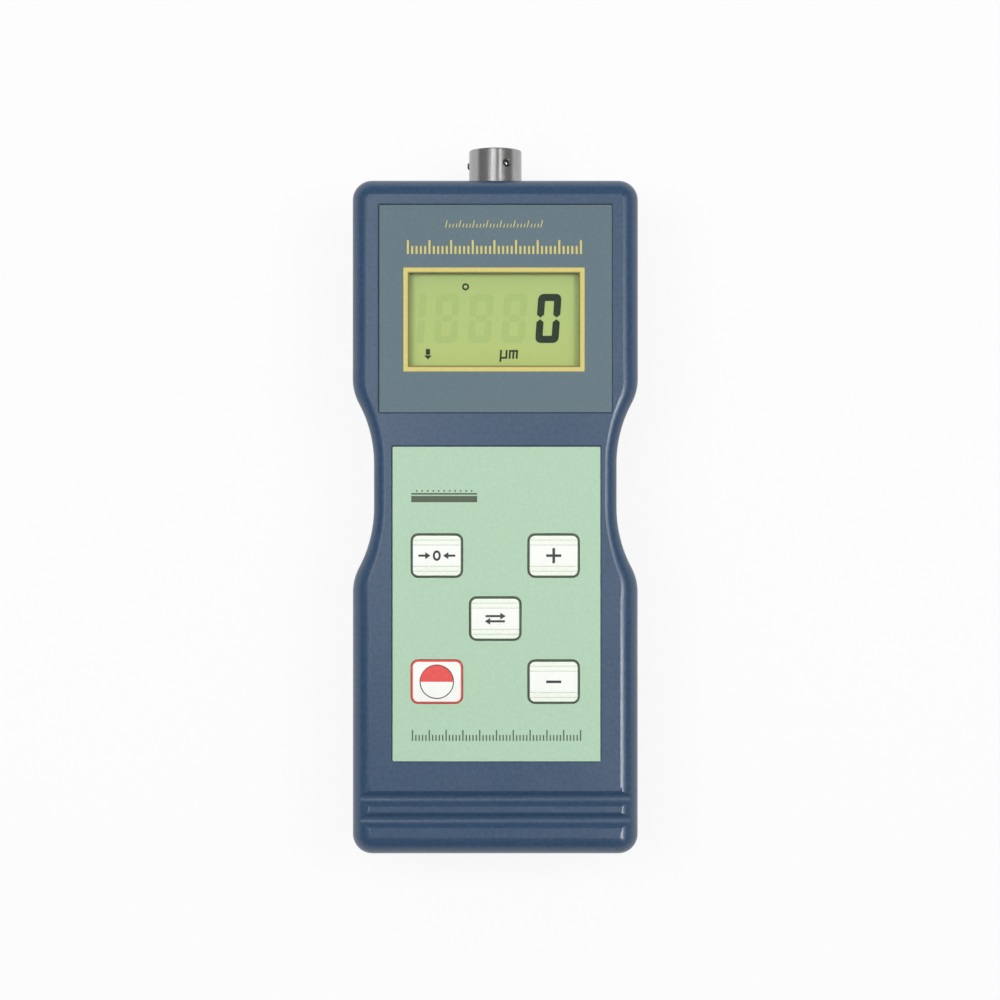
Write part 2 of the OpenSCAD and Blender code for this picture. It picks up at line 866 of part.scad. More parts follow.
module capacitor() {
    color([0.15, 0.17, 0.3])
    translate([-board_w / 4, waist_y + part_row, 0])
        rod(capacitor_r, board_low - capacitor_h, board_low);
}

module socket_shell() {
    color([0.62, 0.62, 0.62])
    difference() {
        union() {
            socket_rod(socket_r, flange_low, socket_end - rim_chamfer);
            socket_rod(socket_r, socket_end - rim_chamfer, socket_end, socket_r - rim_chamfer);
            socket_rod(socket_flange_r, flange_low, flange_top);
            socket_rod(tail_r, tail_end, flange_low);
        }
        socket_rod(socket_bore_r, bore_floor, socket_end + eps);
        socket_rod(insert_r + fit_gap, tail_end - eps, socket_end);
        for (i = [0:keyway_count - 1])
            translate([0, 0, socket_z])
                rotate([0, 360 * i / keyway_count, 0])
                    block(
                        [-keyway_w / 2, bore_floor + seat_gap, socket_bore_r - keyway_depth],
                        [keyway_w / 2, socket_end + eps, socket_bore_r + keyway_depth]
                    );
        bayonet_rods(bayonet_r + fit_gap, socket_r + eps);
    }
}

// Radial rods at the places of the bayonet pins
module bayonet_rods(r, far) {
    for (i = [0:bayonet_count - 1])
        translate([0, case_l / 2 + bayonet_up, socket_z])
            rotate([0, bayonet_turn + 360 * i / bayonet_count, 0])
                rod(r, socket_r - bayonet_depth, far);
}

module bayonet_pins() {
    far = socket_r + bayonet_rise;
    dome_r = (bayonet_r * bayonet_r + bayonet_rise * bayonet_rise) / (2 * bayonet_rise);
    color([0.7, 0.7, 0.7])
    for (i = [0:bayonet_count - 1])
        translate([0, case_l / 2 + bayonet_up, socket_z])
            rotate([0, bayonet_turn + 360 * i / bayonet_count, 0])
                intersection() {
                    rod(bayonet_r, socket_r - bayonet_depth, far + eps);
                    translate([0, 0, far - dome_r])
                        sphere(r = dome_r);
                }
}

module socket_insert() {
    color([0.2, 0.2, 0.2])
    difference() {
        socket_rod(insert_r, tail_end, bore_floor);
        for (i = [0:contact_count - 1])
            translate(contact_place(i))
                socket_rod(contact_r + fit_gap, tail_end - eps, bore_floor + eps);
    }
}

module socket_contacts() {
    color([0.85, 0.7, 0.35])
    for (i = [0:contact_count - 1])
        translate(contact_place(i))
            difference() {
                socket_rod(contact_r, contact_end, bore_floor - fit_gap);
                socket_rod(contact_bore_r, bore_floor - socket_bore_depth, bore_floor);
            }
}

// Short leads from the contacts to the nearer side of the board
module socket_leads() {
    color([0.75, 0.75, 0.72])
    for (i = [0:contact_count - 1]) {
        p = contact_place(i);
        z = socket_z + p.z;
        above = p.z > 0;
        away = [0, 0, above ? 1 : -1];
        foot = [p.x, socket_lead_foot_y, above ? board_top : board_low] + seat_gap * away;
        start = [p.x, contact_end - seat_gap, z];
        wire(
            curve([start, start - [0, lead_sag, 0], foot + lead_sag * away, foot], lead_steps),
            socket_lead_r, lead_sides, [1, 0, 0]
        );
    }
}

// Lead from the tab of an end contact to the board
module battery_lead(i) {
    start = [cell_x(i), bay_low_y + plate_t + fit_gap, tab_top - lead_r];
    foot = [cell_x(i), lead_foot_y, board_low - 2 * seat_gap];
    wire(
        curve([start, start + [0, 2 * lead_sag, 0], foot - [0, 0, lead_sag], foot], lead_steps),
        lead_r, lead_sides, [1, 0, 0]
    );
}

// A cell stands off the lower end by its spring or by its button
function cell_low(i) = bay_low_y + plate_t + (plus_up(i) ? spring_l : button_h);

module cell(i) {
    color([0.2, 0.2, 0.22])
    translate([cell_x(i), cell_low(i) + (plus_up(i) ? 0 : cell_l), cell_z])
        rotate([plus_up(i) ? -90 : 90, 0, 0]) {
            rod(cell_d / 2, 0, cell_l - nub_h);
            rod(nub_r, cell_l - nub_h, cell_l);
        }
}

module cell_spring(i) {
    wide = cell_d / 2 - spring_in;
    narrow = wide * spring_taper;
    steps = spring_turns * spring_steps;
    base = plus_up(i) ? bay_low_y + plate_t : bay_top_y - plate_t;
    away = plus_up(i) ? 1 : -1;
    reach = spring_l - 2 * spring_wire_r;
    color([0.75, 0.75, 0.75])
    wire(
        [
            for (k = [0:steps])
                let (t = k / steps, r = wide + (narrow - wide) * t, a = 360 * spring_turns * t)
                [cell_x(i) + r * cos(a), base + away * (spring_wire_r + reach * t), cell_z + r * sin(a)]
        ],
        spring_wire_r, spring_sides, [0, 1, 0]
    );
}

// Contact plate behind one or two cells at an end of the bay, with a button for each plus end
module contact_plate(cells, upper, tab) {
    side = cell_d / 2 - plate_in;
    y = upper ? bay_top_y - plate_t : bay_low_y;
    color([0.75, 0.75, 0.75]) {
        block(
            [cell_x(cells[0]) - side, y, cell_z - side],
            [cell_x(cells[len(cells) - 1]) + side, y + plate_t, cell_z + side]
        );
        for (i = cells)
            if (plus_up(i) == upper)
                translate([cell_x(i), y + plate_t / 2, cell_z])
                    rotate([upper ? 90 : -90, 0, 0])
                        cylinder(r = nub_r, h = plate_t / 2 + button_h);
        if (tab)
            block(
                [cell_x(cells[0]) - tab_w / 2, y, cell_z],
                [cell_x(cells[0]) + tab_w / 2, y + plate_t, tab_top]
            );
    }
}

front_cover();
rear_cover();
battery_door();
case_screws();
display_panel();
window_lens();
keypad_sheet();
display_glass();
display_holder();
contact_strip(1);  // upper_strip
contact_strip(-1);  // lower_strip
main_board();
board_screws();
processor_chip();
amplifier_chip();
crystal();
capacitor();
socket_shell();
bayonet_pins();
socket_insert();
socket_contacts();
socket_leads();
battery_lead(0);  // battery_lead_minus
battery_lead(cell_count - 1);  // battery_lead_plus
for (i = [0:len(KEYS) - 1]) {
    key_cap(i);
    key_plunger(i);
    key_switch(i);
}
for (i = [0:cell_count - 1]) {
    cell(i);
    cell_spring(i);
}
for (i = [0:len(UPPER_CONTACTS) - 1])
    contact_plate(UPPER_CELL_INDEX[i], true, false);
for (i = [0:len(LOWER_CONTACTS) - 1])
    contact_plate(LOWER_CELL_INDEX[i], false, len(LOWER_CELL_INDEX[i]) == 1);
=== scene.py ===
import math

import bmesh
import bpy
from mathutils import Matrix, Vector


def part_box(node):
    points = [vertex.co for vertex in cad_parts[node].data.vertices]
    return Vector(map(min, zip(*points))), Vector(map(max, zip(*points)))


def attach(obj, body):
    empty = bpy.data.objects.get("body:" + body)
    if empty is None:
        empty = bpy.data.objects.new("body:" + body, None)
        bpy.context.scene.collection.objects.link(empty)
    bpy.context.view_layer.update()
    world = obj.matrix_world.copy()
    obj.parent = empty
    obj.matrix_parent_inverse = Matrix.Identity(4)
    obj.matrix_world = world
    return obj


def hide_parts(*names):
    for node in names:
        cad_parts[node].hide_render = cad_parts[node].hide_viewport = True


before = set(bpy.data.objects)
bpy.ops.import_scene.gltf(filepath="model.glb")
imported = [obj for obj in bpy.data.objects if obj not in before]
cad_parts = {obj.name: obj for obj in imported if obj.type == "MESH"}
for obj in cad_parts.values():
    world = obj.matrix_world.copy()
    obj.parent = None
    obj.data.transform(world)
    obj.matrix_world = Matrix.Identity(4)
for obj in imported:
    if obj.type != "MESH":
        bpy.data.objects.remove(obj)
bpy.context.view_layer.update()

bl_info = {
    "name": "Coating Thickness Gauge",
    "version": (1, 0, 0),
    "blender": (4, 5, 0),
    "location": "3D View > Sidebar > Gauge",
    "description": "Gives a hand-held coating thickness gauge its finished shapes and materials",
    "category": "Object",
}

MM = 0.001
KEYS = ("zero", "plus", "mode", "power", "minus")


def span(node):
    """Size of a CAD node's box."""
    low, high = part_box(node)
    return high - low


def middle(node):
    """Middle of a CAD node's box."""
    low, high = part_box(node)
    return (low + high) / 2


FRONT_LOW, FRONT_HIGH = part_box("front_cover")


def length(name, description, default):
    return bpy.props.FloatProperty(
        name=name, description=description, default=default, unit="LENGTH", precision=5
    )


def colour(name, description, default):
    return bpy.props.FloatVectorProperty(
        name=name, description=description, default=default, subtype="COLOR", size=3, min=0, max=1
    )


def share(name, description, default):
    return bpy.props.FloatProperty(
        name=name, description=description, default=default, min=0, max=1, subtype="FACTOR"
    )


def power(name, description, default):
    return bpy.props.FloatProperty(name=name, description=description, default=default, unit="POWER")


class CaseSizes(bpy.types.PropertyGroup):
    """Form of the two covers and of the battery door."""

    width: length("Width", "Width of the head and of the lower body", span("front_cover").x)
    length: length("Length", "Length of the case without the socket", span("front_cover").y)
    depth: length("Depth", "Height of the face above the back", FRONT_HIGH.z)
    parting: length("Parting Line", "Height of the parting line above the back", FRONT_LOW.z)
    waist_width: length("Waist Width", "Width at the waist", 58.7 * MM)
    waist_place: length("Waist Place", "Place of the waist along the case", 7.6 * MM)
    waist_straight: length("Waist Straight", "Straight stretch of the waist", 10.5 * MM)
    hollow_radius: length("Hollow Radius", "Radius of the hollow beside the waist", 30 * MM)
    shoulder_radius: length("Shoulder Radius", "Radius of the shoulders of the waist", 13 * MM)
    corner_radius: length("Corner Radius", "Radius of the four corners", 5 * MM)
    face_round: length("Face Rounding", "Rounding of the edge of the face at the lower body", 4.4 * MM)
    waist_round: length("Waist Rounding", "Rounding of the edge of the face at the waist", 2.9 * MM)
    head_round: length("Head Rounding", "Rounding of the edge of the face at the head", 3.8 * MM)
    face_fold: bpy.props.FloatProperty(
        name="Face Fold", description="Tilt at which the rounding leaves the face", default=math.radians(8),
        subtype="ANGLE",
    )
    back_round: length("Back Rounding", "Rounding of the edge of the back", 4 * MM)
    draft: length("Draft", "Taper of the side walls", 0.3 * MM)
    wall: length("Wall", "Thickness of the side walls", 2.2 * MM)
    face_wall: length("Face Wall", "Thickness of the wall behind the face", 2.4 * MM)
    back_wall: length("Back Wall", "Thickness of the back wall", 2.2 * MM)
    lip: length("Soft Lip", "Rounding of the edges of pockets and holes", 0.18 * MM)
    groove_width: length("Groove Width", "Width of a grip groove", 3.3 * MM)
    groove_depth: length("Groove Depth", "Depth of a grip groove", 1.0 * MM)
    groove_pitch: length("Groove Pitch", "Distance between the grip grooves", 5.1 * MM)
    groove_in: length("Groove Place", "Distance of the first groove from the lower end", 14 * MM)


class FaceSizes(bpy.types.PropertyGroup):
    """Sheets, window and keys on the face."""

    sheet_gap: length("Sheet Gap", "Gap between a sheet and its pocket", 0.14 * MM)
    sheet_corner: length("Sheet Corner", "Corner radius of the sheets", 0.25 * MM)
    keypad_shift: length("Keypad Shift", "How far the keypad sheet lies off the middle", 0.3 * MM)
    panel_shift: length("Panel Shift", "How far the display panel lies off the middle", 0.1 * MM)
    window_shift: length("Window Shift", "How far the window lies off the middle", -0.3 * MM)
    window_width: length("Window Width", "Width of the window", span("window_lens").x - 4.4 * MM)
    window_length: length("Window Length", "Length of the window", span("window_lens").y - 4.4 * MM)
    frame_width: length("Frame Line", "Reach of the printed line round the window", 1.36 * MM)
    # Painted shade: the dark olive line inside the frame line stands in for the shadow at the window's inner
    # wall.
    frame_shade: length("Inner Line", "Width of the dark line inside the frame line", 0.35 * MM)
    key_width: length("Key Width", "Width of a key", 12.3 * MM)
    key_length: length("Key Length", "Length of a key", 10.4 * MM)
    key_corner: length("Key Corner", "Corner radius of a key", 1.7 * MM)
    key_crown: length("Key Crown", "Radius of the crown of a key", 40 * MM)
    key_edge: length("Key Edge", "Rounding of the edge of a key", 0.3 * MM)
    key_outline: length("Key Outline", "Width of the printed outline of a key", 0.48 * MM)
    key_gap: length("Key Gap", "Gap between a key and its hole", 0.1 * MM)
    ink: length("Ink Height", "Height of printed ink above its sheet", 0.02 * MM)


class FinishColours(bpy.types.PropertyGroup):
    """Base colours of the finishes."""

    case_blue: colour("Case", "Moulded case", (0.027, 0.067, 0.135))
    panel_grey: colour("Display Panel", "Satin sheet round the window", (0.112, 0.168, 0.195))
    frame_yellow: colour("Frame Line", "Ink of the window frame and of the scale", (0.645, 0.56, 0.166))
    display_green: colour("Display", "Reflector of the display", (0.45, 0.56, 0.19))
    segment: colour("Segments", "Dark segments of the display", (0.032, 0.045, 0.030))
    keypad_green: colour("Keypad", "Keypad sheet", (0.43, 0.62, 0.45))
    key_white: colour("Keys", "Face of the keys", (0.90, 0.92, 0.87))
    ink_green: colour("Dark Ink", "Ink of the key outlines and scale", (0.084, 0.117, 0.077))
    ink_red: colour("Red Ink", "Ink of the power key", (0.78, 0.075, 0.070))
    socket_metal: colour("Socket", "Turned metal of the socket", (0.39, 0.39, 0.385))
    steel: colour("Steel", "Springs, plates and screws", (0.52, 0.52, 0.53))


class StudioSettings(bpy.types.PropertyGroup):
    """Camera, lamps and floor."""

    camera_x: length("Camera X", "Place of the camera to the right", 1.13 * MM)
    camera_y: length("Camera Y", "Place of the camera along the case", 4.13 * MM)
    camera_height: length("Camera Height", "Height of the camera above the back", 547 * MM)
    lens: bpy.props.FloatProperty(
        name="Lens", description="Focal length of the camera", default=77.92, unit="CAMERA"
    )
    front_light: power("Front Light", "Power of the soft light over the face", 0.85)
    strip_light: power("Strip Light", "Power of the strip light at the right", 4.7)
    head_light: power("Head Light", "Power of the soft light beyond the socket", 0.7)
    left_light: power("Left Light", "Power of the soft light at the left", 1.45)
    fill_light: power("Fill Light", "Power of each soft light that nothing mirrors", 1.9)
    right_light: power("Right Light", "Power of the soft light at the right", 1.15)
    socket_light: bpy.props.FloatProperty(
        name="Socket Light", description="Power per metre of the small lamps that the socket mirrors",
        default=0.85,
    )
    room_light: share("Room Light", "Strength of the even light of the room", 0.26)
    wall_tone: share("Wall Tone", "Tone of the walls as metal and gloss mirror them", 0.15)
    floor_share: share("Floor Shadow", "Share of the floor's own shading that the camera sees", 0.12)


# Heights and clearances that follow the part, in metres
SHEET_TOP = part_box("display_panel")[1].z
POCKET_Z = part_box("display_panel")[0].z
LENS_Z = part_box("window_lens")[0].z
GLASS_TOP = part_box("display_glass")[1].z
KEY_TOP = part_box("zero_key")[1].z
WINDOW = middle("window_lens")
BOARD_LOW, BOARD_TOP = (p.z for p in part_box("main_board"))
SOCKET_Z = middle("socket_shell").z
SOCKET_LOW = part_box("socket_shell")[0].y
FLANGE_LOW, FLANGE_TOP = SOCKET_LOW + 4 * MM, SOCKET_LOW + 5.6 * MM
FLANGE_RADIUS = 8.4 * MM
SOCKET_RADIUS = 6.4 * MM
BOSS_RADIUS = 4 * MM
DOOR_HALF = 21.8 * MM
SHEET_SOFT = 0.07 * MM
INNER_CORNER = 0.6 * MM
CUT = 0.5 * MM
LIP_HEIGHT = 1.5 * MM
LIP_GAP = 0.15 * MM
LIP_WALL = 1 * MM
FIT_GAP = 0.05 * MM
SLIDE_GAP = 0.2 * MM
HOLE_GAP = 0.25 * MM
CHAMFER = 0.3 * MM

# Lengths over which the rounding of the face's edge changes, beside the waist
BODY_EASE = 18 * MM
HEAD_EASE = 20 * MM

# Steps of the outer and inner roundings, and of the straight stretches of the case outline:
# half of the lower end, body, waist, head, half of the upper end
ROUND_STEPS = 16
INNER_STEPS = 6
SIDE_STEPS = (6, 24, 4, 12, 6)

# Share of the keypad sheet's shift that its pocket follows
POCKET_SHARE = 0.8

# How far handling marks and polished edges change a plastic's roughness, and the tone of a worn edge, lighter
# partly through wear and partly as painted sheen; a wider swing left faint dark marks on the case in denoised
# renders
SHEEN_SWING = 0.022
POLISH_GLOSS = 0.08
EDGE_SHEEN_TONE = 1.55


def shade(rgb, factor):
    """A colour made darker or lighter, with alpha."""
    return tuple(min(1, c * factor) for c in rgb) + (1,)


# Meshes


def add_piece(name, mesh, *materials):
    """Object at the origin for a finished mesh."""
    piece = bpy.data.objects.new(name, mesh)
    bpy.context.scene.collection.objects.link(piece)
    for material in materials:
        mesh.materials.append(material)
    return piece


def make_piece(name, bm, *materials):
    mesh = bpy.data.meshes.new(name)
    bm.to_mesh(mesh)
    bm.free()
    return add_piece(name, mesh, *materials)


def settle(piece):
    """Turns a piece with modifiers into a plain mesh."""
    bpy.context.view_layer.update()
    graph = bpy.context.evaluated_depsgraph_get()
    mesh = bpy.data.meshes.new_from_object(
        piece.evaluated_get(graph), preserve_all_data_layers=True, depsgraph=graph
    )
    old = piece.data
    piece.modifiers.clear()
    piece.data = mesh
    mesh.name = piece.name
    bpy.data.meshes.remove(old)
    return piece


def carve(piece, *tools, how="DIFFERENCE"):
    """Cuts tools out of a piece, or keeps what they share, and removes the tools."""
    for tool in tools:
        step = piece.modifiers.new(tool.name, "BOOLEAN")
        step.operation = how
        step.solver = "EXACT"
        step.object = tool
    settle(piece)
    for tool in tools:
        mesh = tool.data
        bpy.data.objects.remove(tool)
        bpy.data.meshes.remove(mesh)
    if not piece.data.polygons:
        raise RuntimeError(f"{piece.name} has no faces left after cutting")
    return piece


def opened(piece):
    """A piece's mesh, open for editing."""
    bm = bmesh.new()
    bm.from_mesh(piece.data)
    return bm


def put_back(bm, piece):
    bm.to_mesh(piece.data)
    bm.free()


def smooth(piece, angle=32, fold_height=None):
    """Smooth shading with sharp edges kept, and with the fold round a level face kept crisp."""
    piece.data.shade_smooth()
    piece.data.set_sharp_from_angle(angle=math.radians(angle))
    if fold_height is not None:
        bm = opened(piece)
        for edge in bm.edges:
            tilts = sorted(f.normal.z for f in edge.link_faces)
            level = all(abs(v.co.z - fold_height) < 1e-7 for v in edge.verts)
            if level and len(tilts) == 2 and tilts[1] > 0.99999 > tilts[0] + 0.002:
                edge.smooth = False
        put_back(bm, piece)
    even = piece.modifiers.new("Even Shading", "WEIGHTED_NORMAL")
    even.keep_sharp = True
    return settle(piece)


def soften(piece, width):
    """Small rounding on every sharp edge."""
    bevel = piece.modifiers.new("Soft Edges", "BEVEL")
    bevel.width = width
    bevel.segments = 2
    bevel.limit_method = "ANGLE"
    bevel.angle_limit = math.radians(40)
    bevel.use_clamp_overlap = True
    return settle(piece)


def dress(piece, body, slot, *nodes):
    """Sets a piece on its body and hides the CAD nodes that it stands for; the finish slot is not used."""
    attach(piece, body)
    if nodes:
        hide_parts(*nodes)
    return piece


def arc(x, y, r, start, end, steps):
    turn = math.radians(end - start) / steps
    first = math.radians(start)
    return [
        (x + r * math.cos(first + turn * i), y + r * math.sin(first + turn * i))
        for i in range(steps + 1)
    ]


def between(start, end, steps):
    """Points between two ends, without the ends."""
    return [tuple(a + (b - a) * i / steps for a, b in zip(start, end)) for i in range(1, steps)]


def mirrored(right):
    """Closed outline from its right half, whose points are counted against the clock."""
    return right + [(-x, y) for x, y in reversed(right)]


def round_rect(x, y, w, l, r, steps=6):
    """Rectangle with round corners, counted against the clock."""
    a, b = w / 2 - r, l / 2 - r
    return (
        arc(x + a, y + b, r, 0, 90, steps)
        + arc(x - a, y + b, r, 90, 180, steps)
        + arc(x - a, y - b, r, 180, 270, steps)
        + arc(x + a, y - b, r, 270, 360, steps)
    )


def case_outline(case, inset):
    """Outline of the case, set in, counted against the clock from the lower end."""
    w, l = case.width / 2 - inset, case.length / 2 - inset
    r = max(case.corner_radius - inset, INNER_CORNER)
    hollow, shoulder = case.hollow_radius + inset, case.shoulder_radius - inset
    both = case.hollow_radius + case.shoulder_radius
    angle = math.acos(1 - (case.width - case.waist_width) / 2 / both)
    run, turn = both * math.sin(angle), math.degrees(angle)
    hollow_x = case.waist_width / 2 + case.hollow_radius
    shoulder_x = case.width / 2 - case.shoulder_radius
    low = case.waist_place - case.waist_straight / 2
    high = case.waist_place + case.waist_straight / 2
    pieces = (
        arc(w - r, r - l, r, -90, 0, 10),
        arc(shoulder_x, low - run, shoulder, 0, turn, 10)
        + arc(hollow_x, low, hollow, 180 + turn, 180, 12)[1:],
        arc(hollow_x, high, hollow, 180, 180 - turn, 12)
        + arc(shoulder_x, high + run, shoulder, -turn, 0, 10)[1:],
        arc(w - r, l - r, r, 0, 90, 10),
        [(0, l)],
    )
    right = [(0, -l)]
    for piece, steps in zip(pieces, SIDE_STEPS):
        right += between(right[-1], piece[0], steps) + piece
    return mirrored(right[1:-1])


def loft(name, rings, *materials):
    """Closed skin through rings of equal count, closed by one face at each end."""
    bm = bmesh.new()
    loops = [[bm.verts.new(p) for p in ring] for ring in rings]
    count = len(loops[0])
    for a, b in zip(loops, loops[1:]):
        for i in range(count):
            j = (i + 1) % count
            bm.faces.new((a[i], a[j], b[j], b[i]))
    bm.faces.new(loops[0][::-1])
    bm.faces.new(loops[-1])
    return make_piece(name, bm, *materials)


def case_loft(name, case, levels, *materials):
    """Skin through case outlines, given as (inset, height)."""
    return loft(name, [[(x, y, z) for x, y in case_outline(case, s)] for s, z in levels], *materials)


def face_levels(base, r, top, steps):
    turns = [math.pi / 2 * i / steps for i in range(steps + 1)]
    return [(base + r * (1 - math.cos(a)), top - r * (1 - math.sin(a))) for a in turns]


def back_levels(base, r, low, steps):
    return [(s, 2 * low - z) for s, z in reversed(face_levels(base, r, low, steps))]


def eased(value, low, high):
    """0 below low, 1 above high and an even rise between them."""
    t = min(max((value - low) / (high - low), 0), 1)
    return t * t * (3 - 2 * t)


def edge_round(case, y):
    """Rounding of the face's edge at a place along the case."""
    low, high = case.waist_place - case.waist_straight, case.waist_place + case.waist_straight
    head = eased(y, low, high + HEAD_EASE)
    wide = case.face_round + (case.head_round - case.face_round) * head
    waist = eased(y, low - BODY_EASE, low) * (1 - eased(y, high, high + HEAD_EASE))
    return wide + (case.waist_round - wide) * waist


def face_shell(name, case, *materials):
    """Outside of the front cover, from the parting line up to its rounded face."""
    rim, inner = case_outline(case, 0), case_outline(case, MM)
    rings = [[(x, y, case.parting) for x, y in case_outline(case, CHAMFER)],
             [(x, y, case.parting + CHAMFER) for x, y in rim]]
    last = math.pi / 2 - case.face_fold
    for i in range(ROUND_STEPS + 1):
        turn = last * i / ROUND_STEPS
        ring = []
        for (x, y), (ix, iy) in zip(rim, inner):
            r = edge_round(case, y) / (1 - math.cos(last))
            inset = (case.draft + r * (1 - math.cos(turn))) / MM
            ring.append((x + (ix - x) * inset, y + (iy - y) * inset,
                         case.depth - r * (math.sin(last) - math.sin(turn))))
        rings.append(ring)
    return loft(name, rings, *materials)


def plate(name, x, y, w, l, r, levels, *materials, steps=6):
    """Upright plate with round corners, through levels of (height, growth)."""
    return loft(
        name,
        [
            [(px, py, z) for px, py in round_rect(x, y, w + 2 * g, l + 2 * g, r + g, steps)]
            for z, g in levels
        ],
        *materials,
    )


def flared(low, top, lip, far):
    """Levels of a cut whose edge at the top is rounded."""
    turns = [math.pi / 2 * i / 4 for i in range(5)]
    edge = [(top - lip + lip * math.sin(a), lip * (1 - math.cos(a))) for a in turns]
    return [(low, 0), *edge[:-1], (top + lip * 0.05, lip), (far, lip)]


def box(name, low, high):
    (x0, y0, z0), (x1, y1, z1) = low, high
    ring = [(x0, y0), (x1, y0), (x1, y1), (x0, y1)]
    return loft(name, [[(x, y, z) for x, y in ring] for z in (z0, z1)])


def turned(name, profile, place, *materials, steps=48):
    """Turned solid from (radius, height) pairs, set in place by a matrix."""
    rings = [
        [place @ Vector((r * math.cos(a), r * math.sin(a), z)) for a in
         (2 * math.pi * i / steps for i in range(steps))]
        for r, z in profile
    ]
    return loft(name, rings, *materials)


def upright(x, y):
    return Matrix.Translation((x, y, 0))


def along_socket():
    """Matrix whose local Z runs along the socket axis."""
    return Matrix.Translation((0, 0, SOCKET_Z)) @ Matrix.Rotation(-math.pi / 2, 4, "X")


def rod(name, x, y, r, low, high):
    return turned(name, [(r, low), (r, high)], upright(x, y), steps=32)


def rods(name, places, r, low, high):
    return [rod(name, x, y, r, low, high) for x, y in places]


def socket_rod(name, r, low, high):
    return turned(name, [(r, low), (r, high)], along_socket(), steps=64)


def bar_along_x(name, section, half):
    """Bar along X with a section of (y, z) points, counted against the clock."""
    return loft(name, [[(x, y, z) for y, z in section] for x in (-half, half)])


def bar_along_y(name, section, start, end):
    """Bar along Y with a section of (x, z) points."""
    return loft(name, [[(x, y, z) for x, z in section] for y in (start, end)])


def cad_copy(name, node):
    """Copy of a CAD node with its loose triangles joined."""
    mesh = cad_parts[node].data.copy()
    mesh.materials.clear()
    piece = add_piece(name, mesh)
    bm = opened(piece)
    bmesh.ops.remove_doubles(bm, verts=bm.verts, dist=1e-6)
    bmesh.ops.dissolve_limit(
        bm, angle_limit=math.radians(0.5), verts=bm.verts, edges=bm.edges, delimit={"NORMAL"}
    )
    put_back(bm, piece)
    return piece


def finished_copy(node, ending, soft, finish, slot):
    """Copy of a CAD node with soft edges and its finish."""
    copy = soften(cad_copy(node + ending, node), soft)
    copy.data.materials.append(finish)
    dress(smooth(copy), "housing", slot, node)


# Printed shapes


def lean(shape, x, y, slant):
    return [(px + (py - y) * slant, py) for px, py in shape]


def bar(x0, y0, x1, y1, w):
    """Straight stroke between two points."""
    d = Vector((x1 - x0, y1 - y0)).normalized() * w / 2
    return [(x0 + d.y, y0 - d.x), (x1 + d.y, y1 - d.x), (x1 - d.y, y1 + d.x), (x0 - d.y, y0 + d.x)]


def oval(x, y, a, b, steps=32):
    turns = [math.tau * i / steps for i in range(steps)]
    return [(x + a * math.cos(t), y + b * math.sin(t)) for t in turns]


def disc(x, y, r, start=0, end=360, steps=48):
    points = arc(x, y, r, start, end, steps)
    return points[:-1] if end - start == 360 else points


def arrow(start, neck, tip, y, w, wing):
    """Arrow along X: a shaft from start to neck and a head that ends at tip."""
    return [bar(start, y, neck, y, w), [(neck, y - wing), (tip, y), (neck, y + wing)]]


def level(height):
    """Even height for a printed layer."""
    return lambda x, y: height


def print_ink(name, faces, top, material, sink=0.01 * MM, rows=0.0):
    """Thin closed layer from flat faces; top gives its height at a place."""
    bm = bmesh.new()
    for shape in faces:
        face = bm.faces.new([bm.verts.new((x, y, 0)) for x, y in shape])
        face.normal_update()
        if face.normal.z < 0:
            face.normal_flip()
    bmesh.ops.remove_doubles(bm, verts=bm.verts, dist=1e-7)
    if rows:
        low = min(v.co.y for v in bm.verts)
        high = max(v.co.y for v in bm.verts)
        y = low + rows
        while y < high:
            geom = bm.verts[:] + bm.edges[:] + bm.faces[:]
            bmesh.ops.bisect_plane(bm, geom=geom, plane_co=(0, y, 0), plane_no=(0, 1, 0), dist=1e-8)
            y += rows
    below = bmesh.ops.duplicate(bm, geom=bm.verts[:] + bm.edges[:] + bm.faces[:])
    lower = {e for e in below["geom"] if isinstance(e, bmesh.types.BMVert)}
    lower_faces = [e for e in below["geom"] if isinstance(e, bmesh.types.BMFace)]
    bmesh.ops.reverse_faces(bm, faces=lower_faces)
    mate = below["vert_map"]
    border = [e for e in bm.edges if e.is_boundary and e.verts[0] not in lower]
    for edge in border:
        a, b = edge.verts
        if edge.link_loops[0].vert is not a:
            a, b = b, a
        bm.faces.new((b, a, mate[a], mate[b]))
    for v in bm.verts:
        v.co.z = top(v.co.x, v.co.y) - (sink if v in lower else 0)
    return make_piece(name, bm, material)


def band(outer, inner, closed=True):
    """Faces between two lines of equal count."""
    count = len(outer)
    return [
        [outer[i], outer[(i + 1) % count], inner[(i + 1) % count], inner[i]]
        for i in range(count if closed else count - 1)
    ]


# Finishes


def add_node(tree, kind, inputs=None, **settings):
    """Node with settings, and with values or links at its inputs."""
    node = tree.nodes.new(kind)
    for key, value in settings.items():
        setattr(node, key, value)
    for key, value in (inputs or {}).items():
        if isinstance(value, bpy.types.NodeSocket):
            tree.links.new(value, node.inputs[key])
        else:
            node.inputs[key].default_value = value
    return node


def maths(tree, operation, a, b=0.0):
    return add_node(tree, "ShaderNodeMath", {0: a, 1: b}, operation=operation).outputs[0]


def times(tree, a, b):
    return maths(tree, "MULTIPLY", a, b)


def plus(tree, a, b):
    return maths(tree, "ADD", a, b)


def noise(tree, vector, scale, detail=2.0, roughness=0.5, distortion=0.0):
    return add_node(
        tree, "ShaderNodeTexNoise",
        {"Vector": vector, "Scale": scale, "Detail": detail, "Roughness": roughness,
         "Distortion": distortion},
    ).outputs["Fac"]


def remap(tree, value, low, high, to_low=0.0, to_high=1.0):
    return add_node(
        tree, "ShaderNodeMapRange",
        {"Value": value, "From Min": low, "From Max": high, "To Min": to_low, "To Max": to_high},
    ).outputs["Result"]


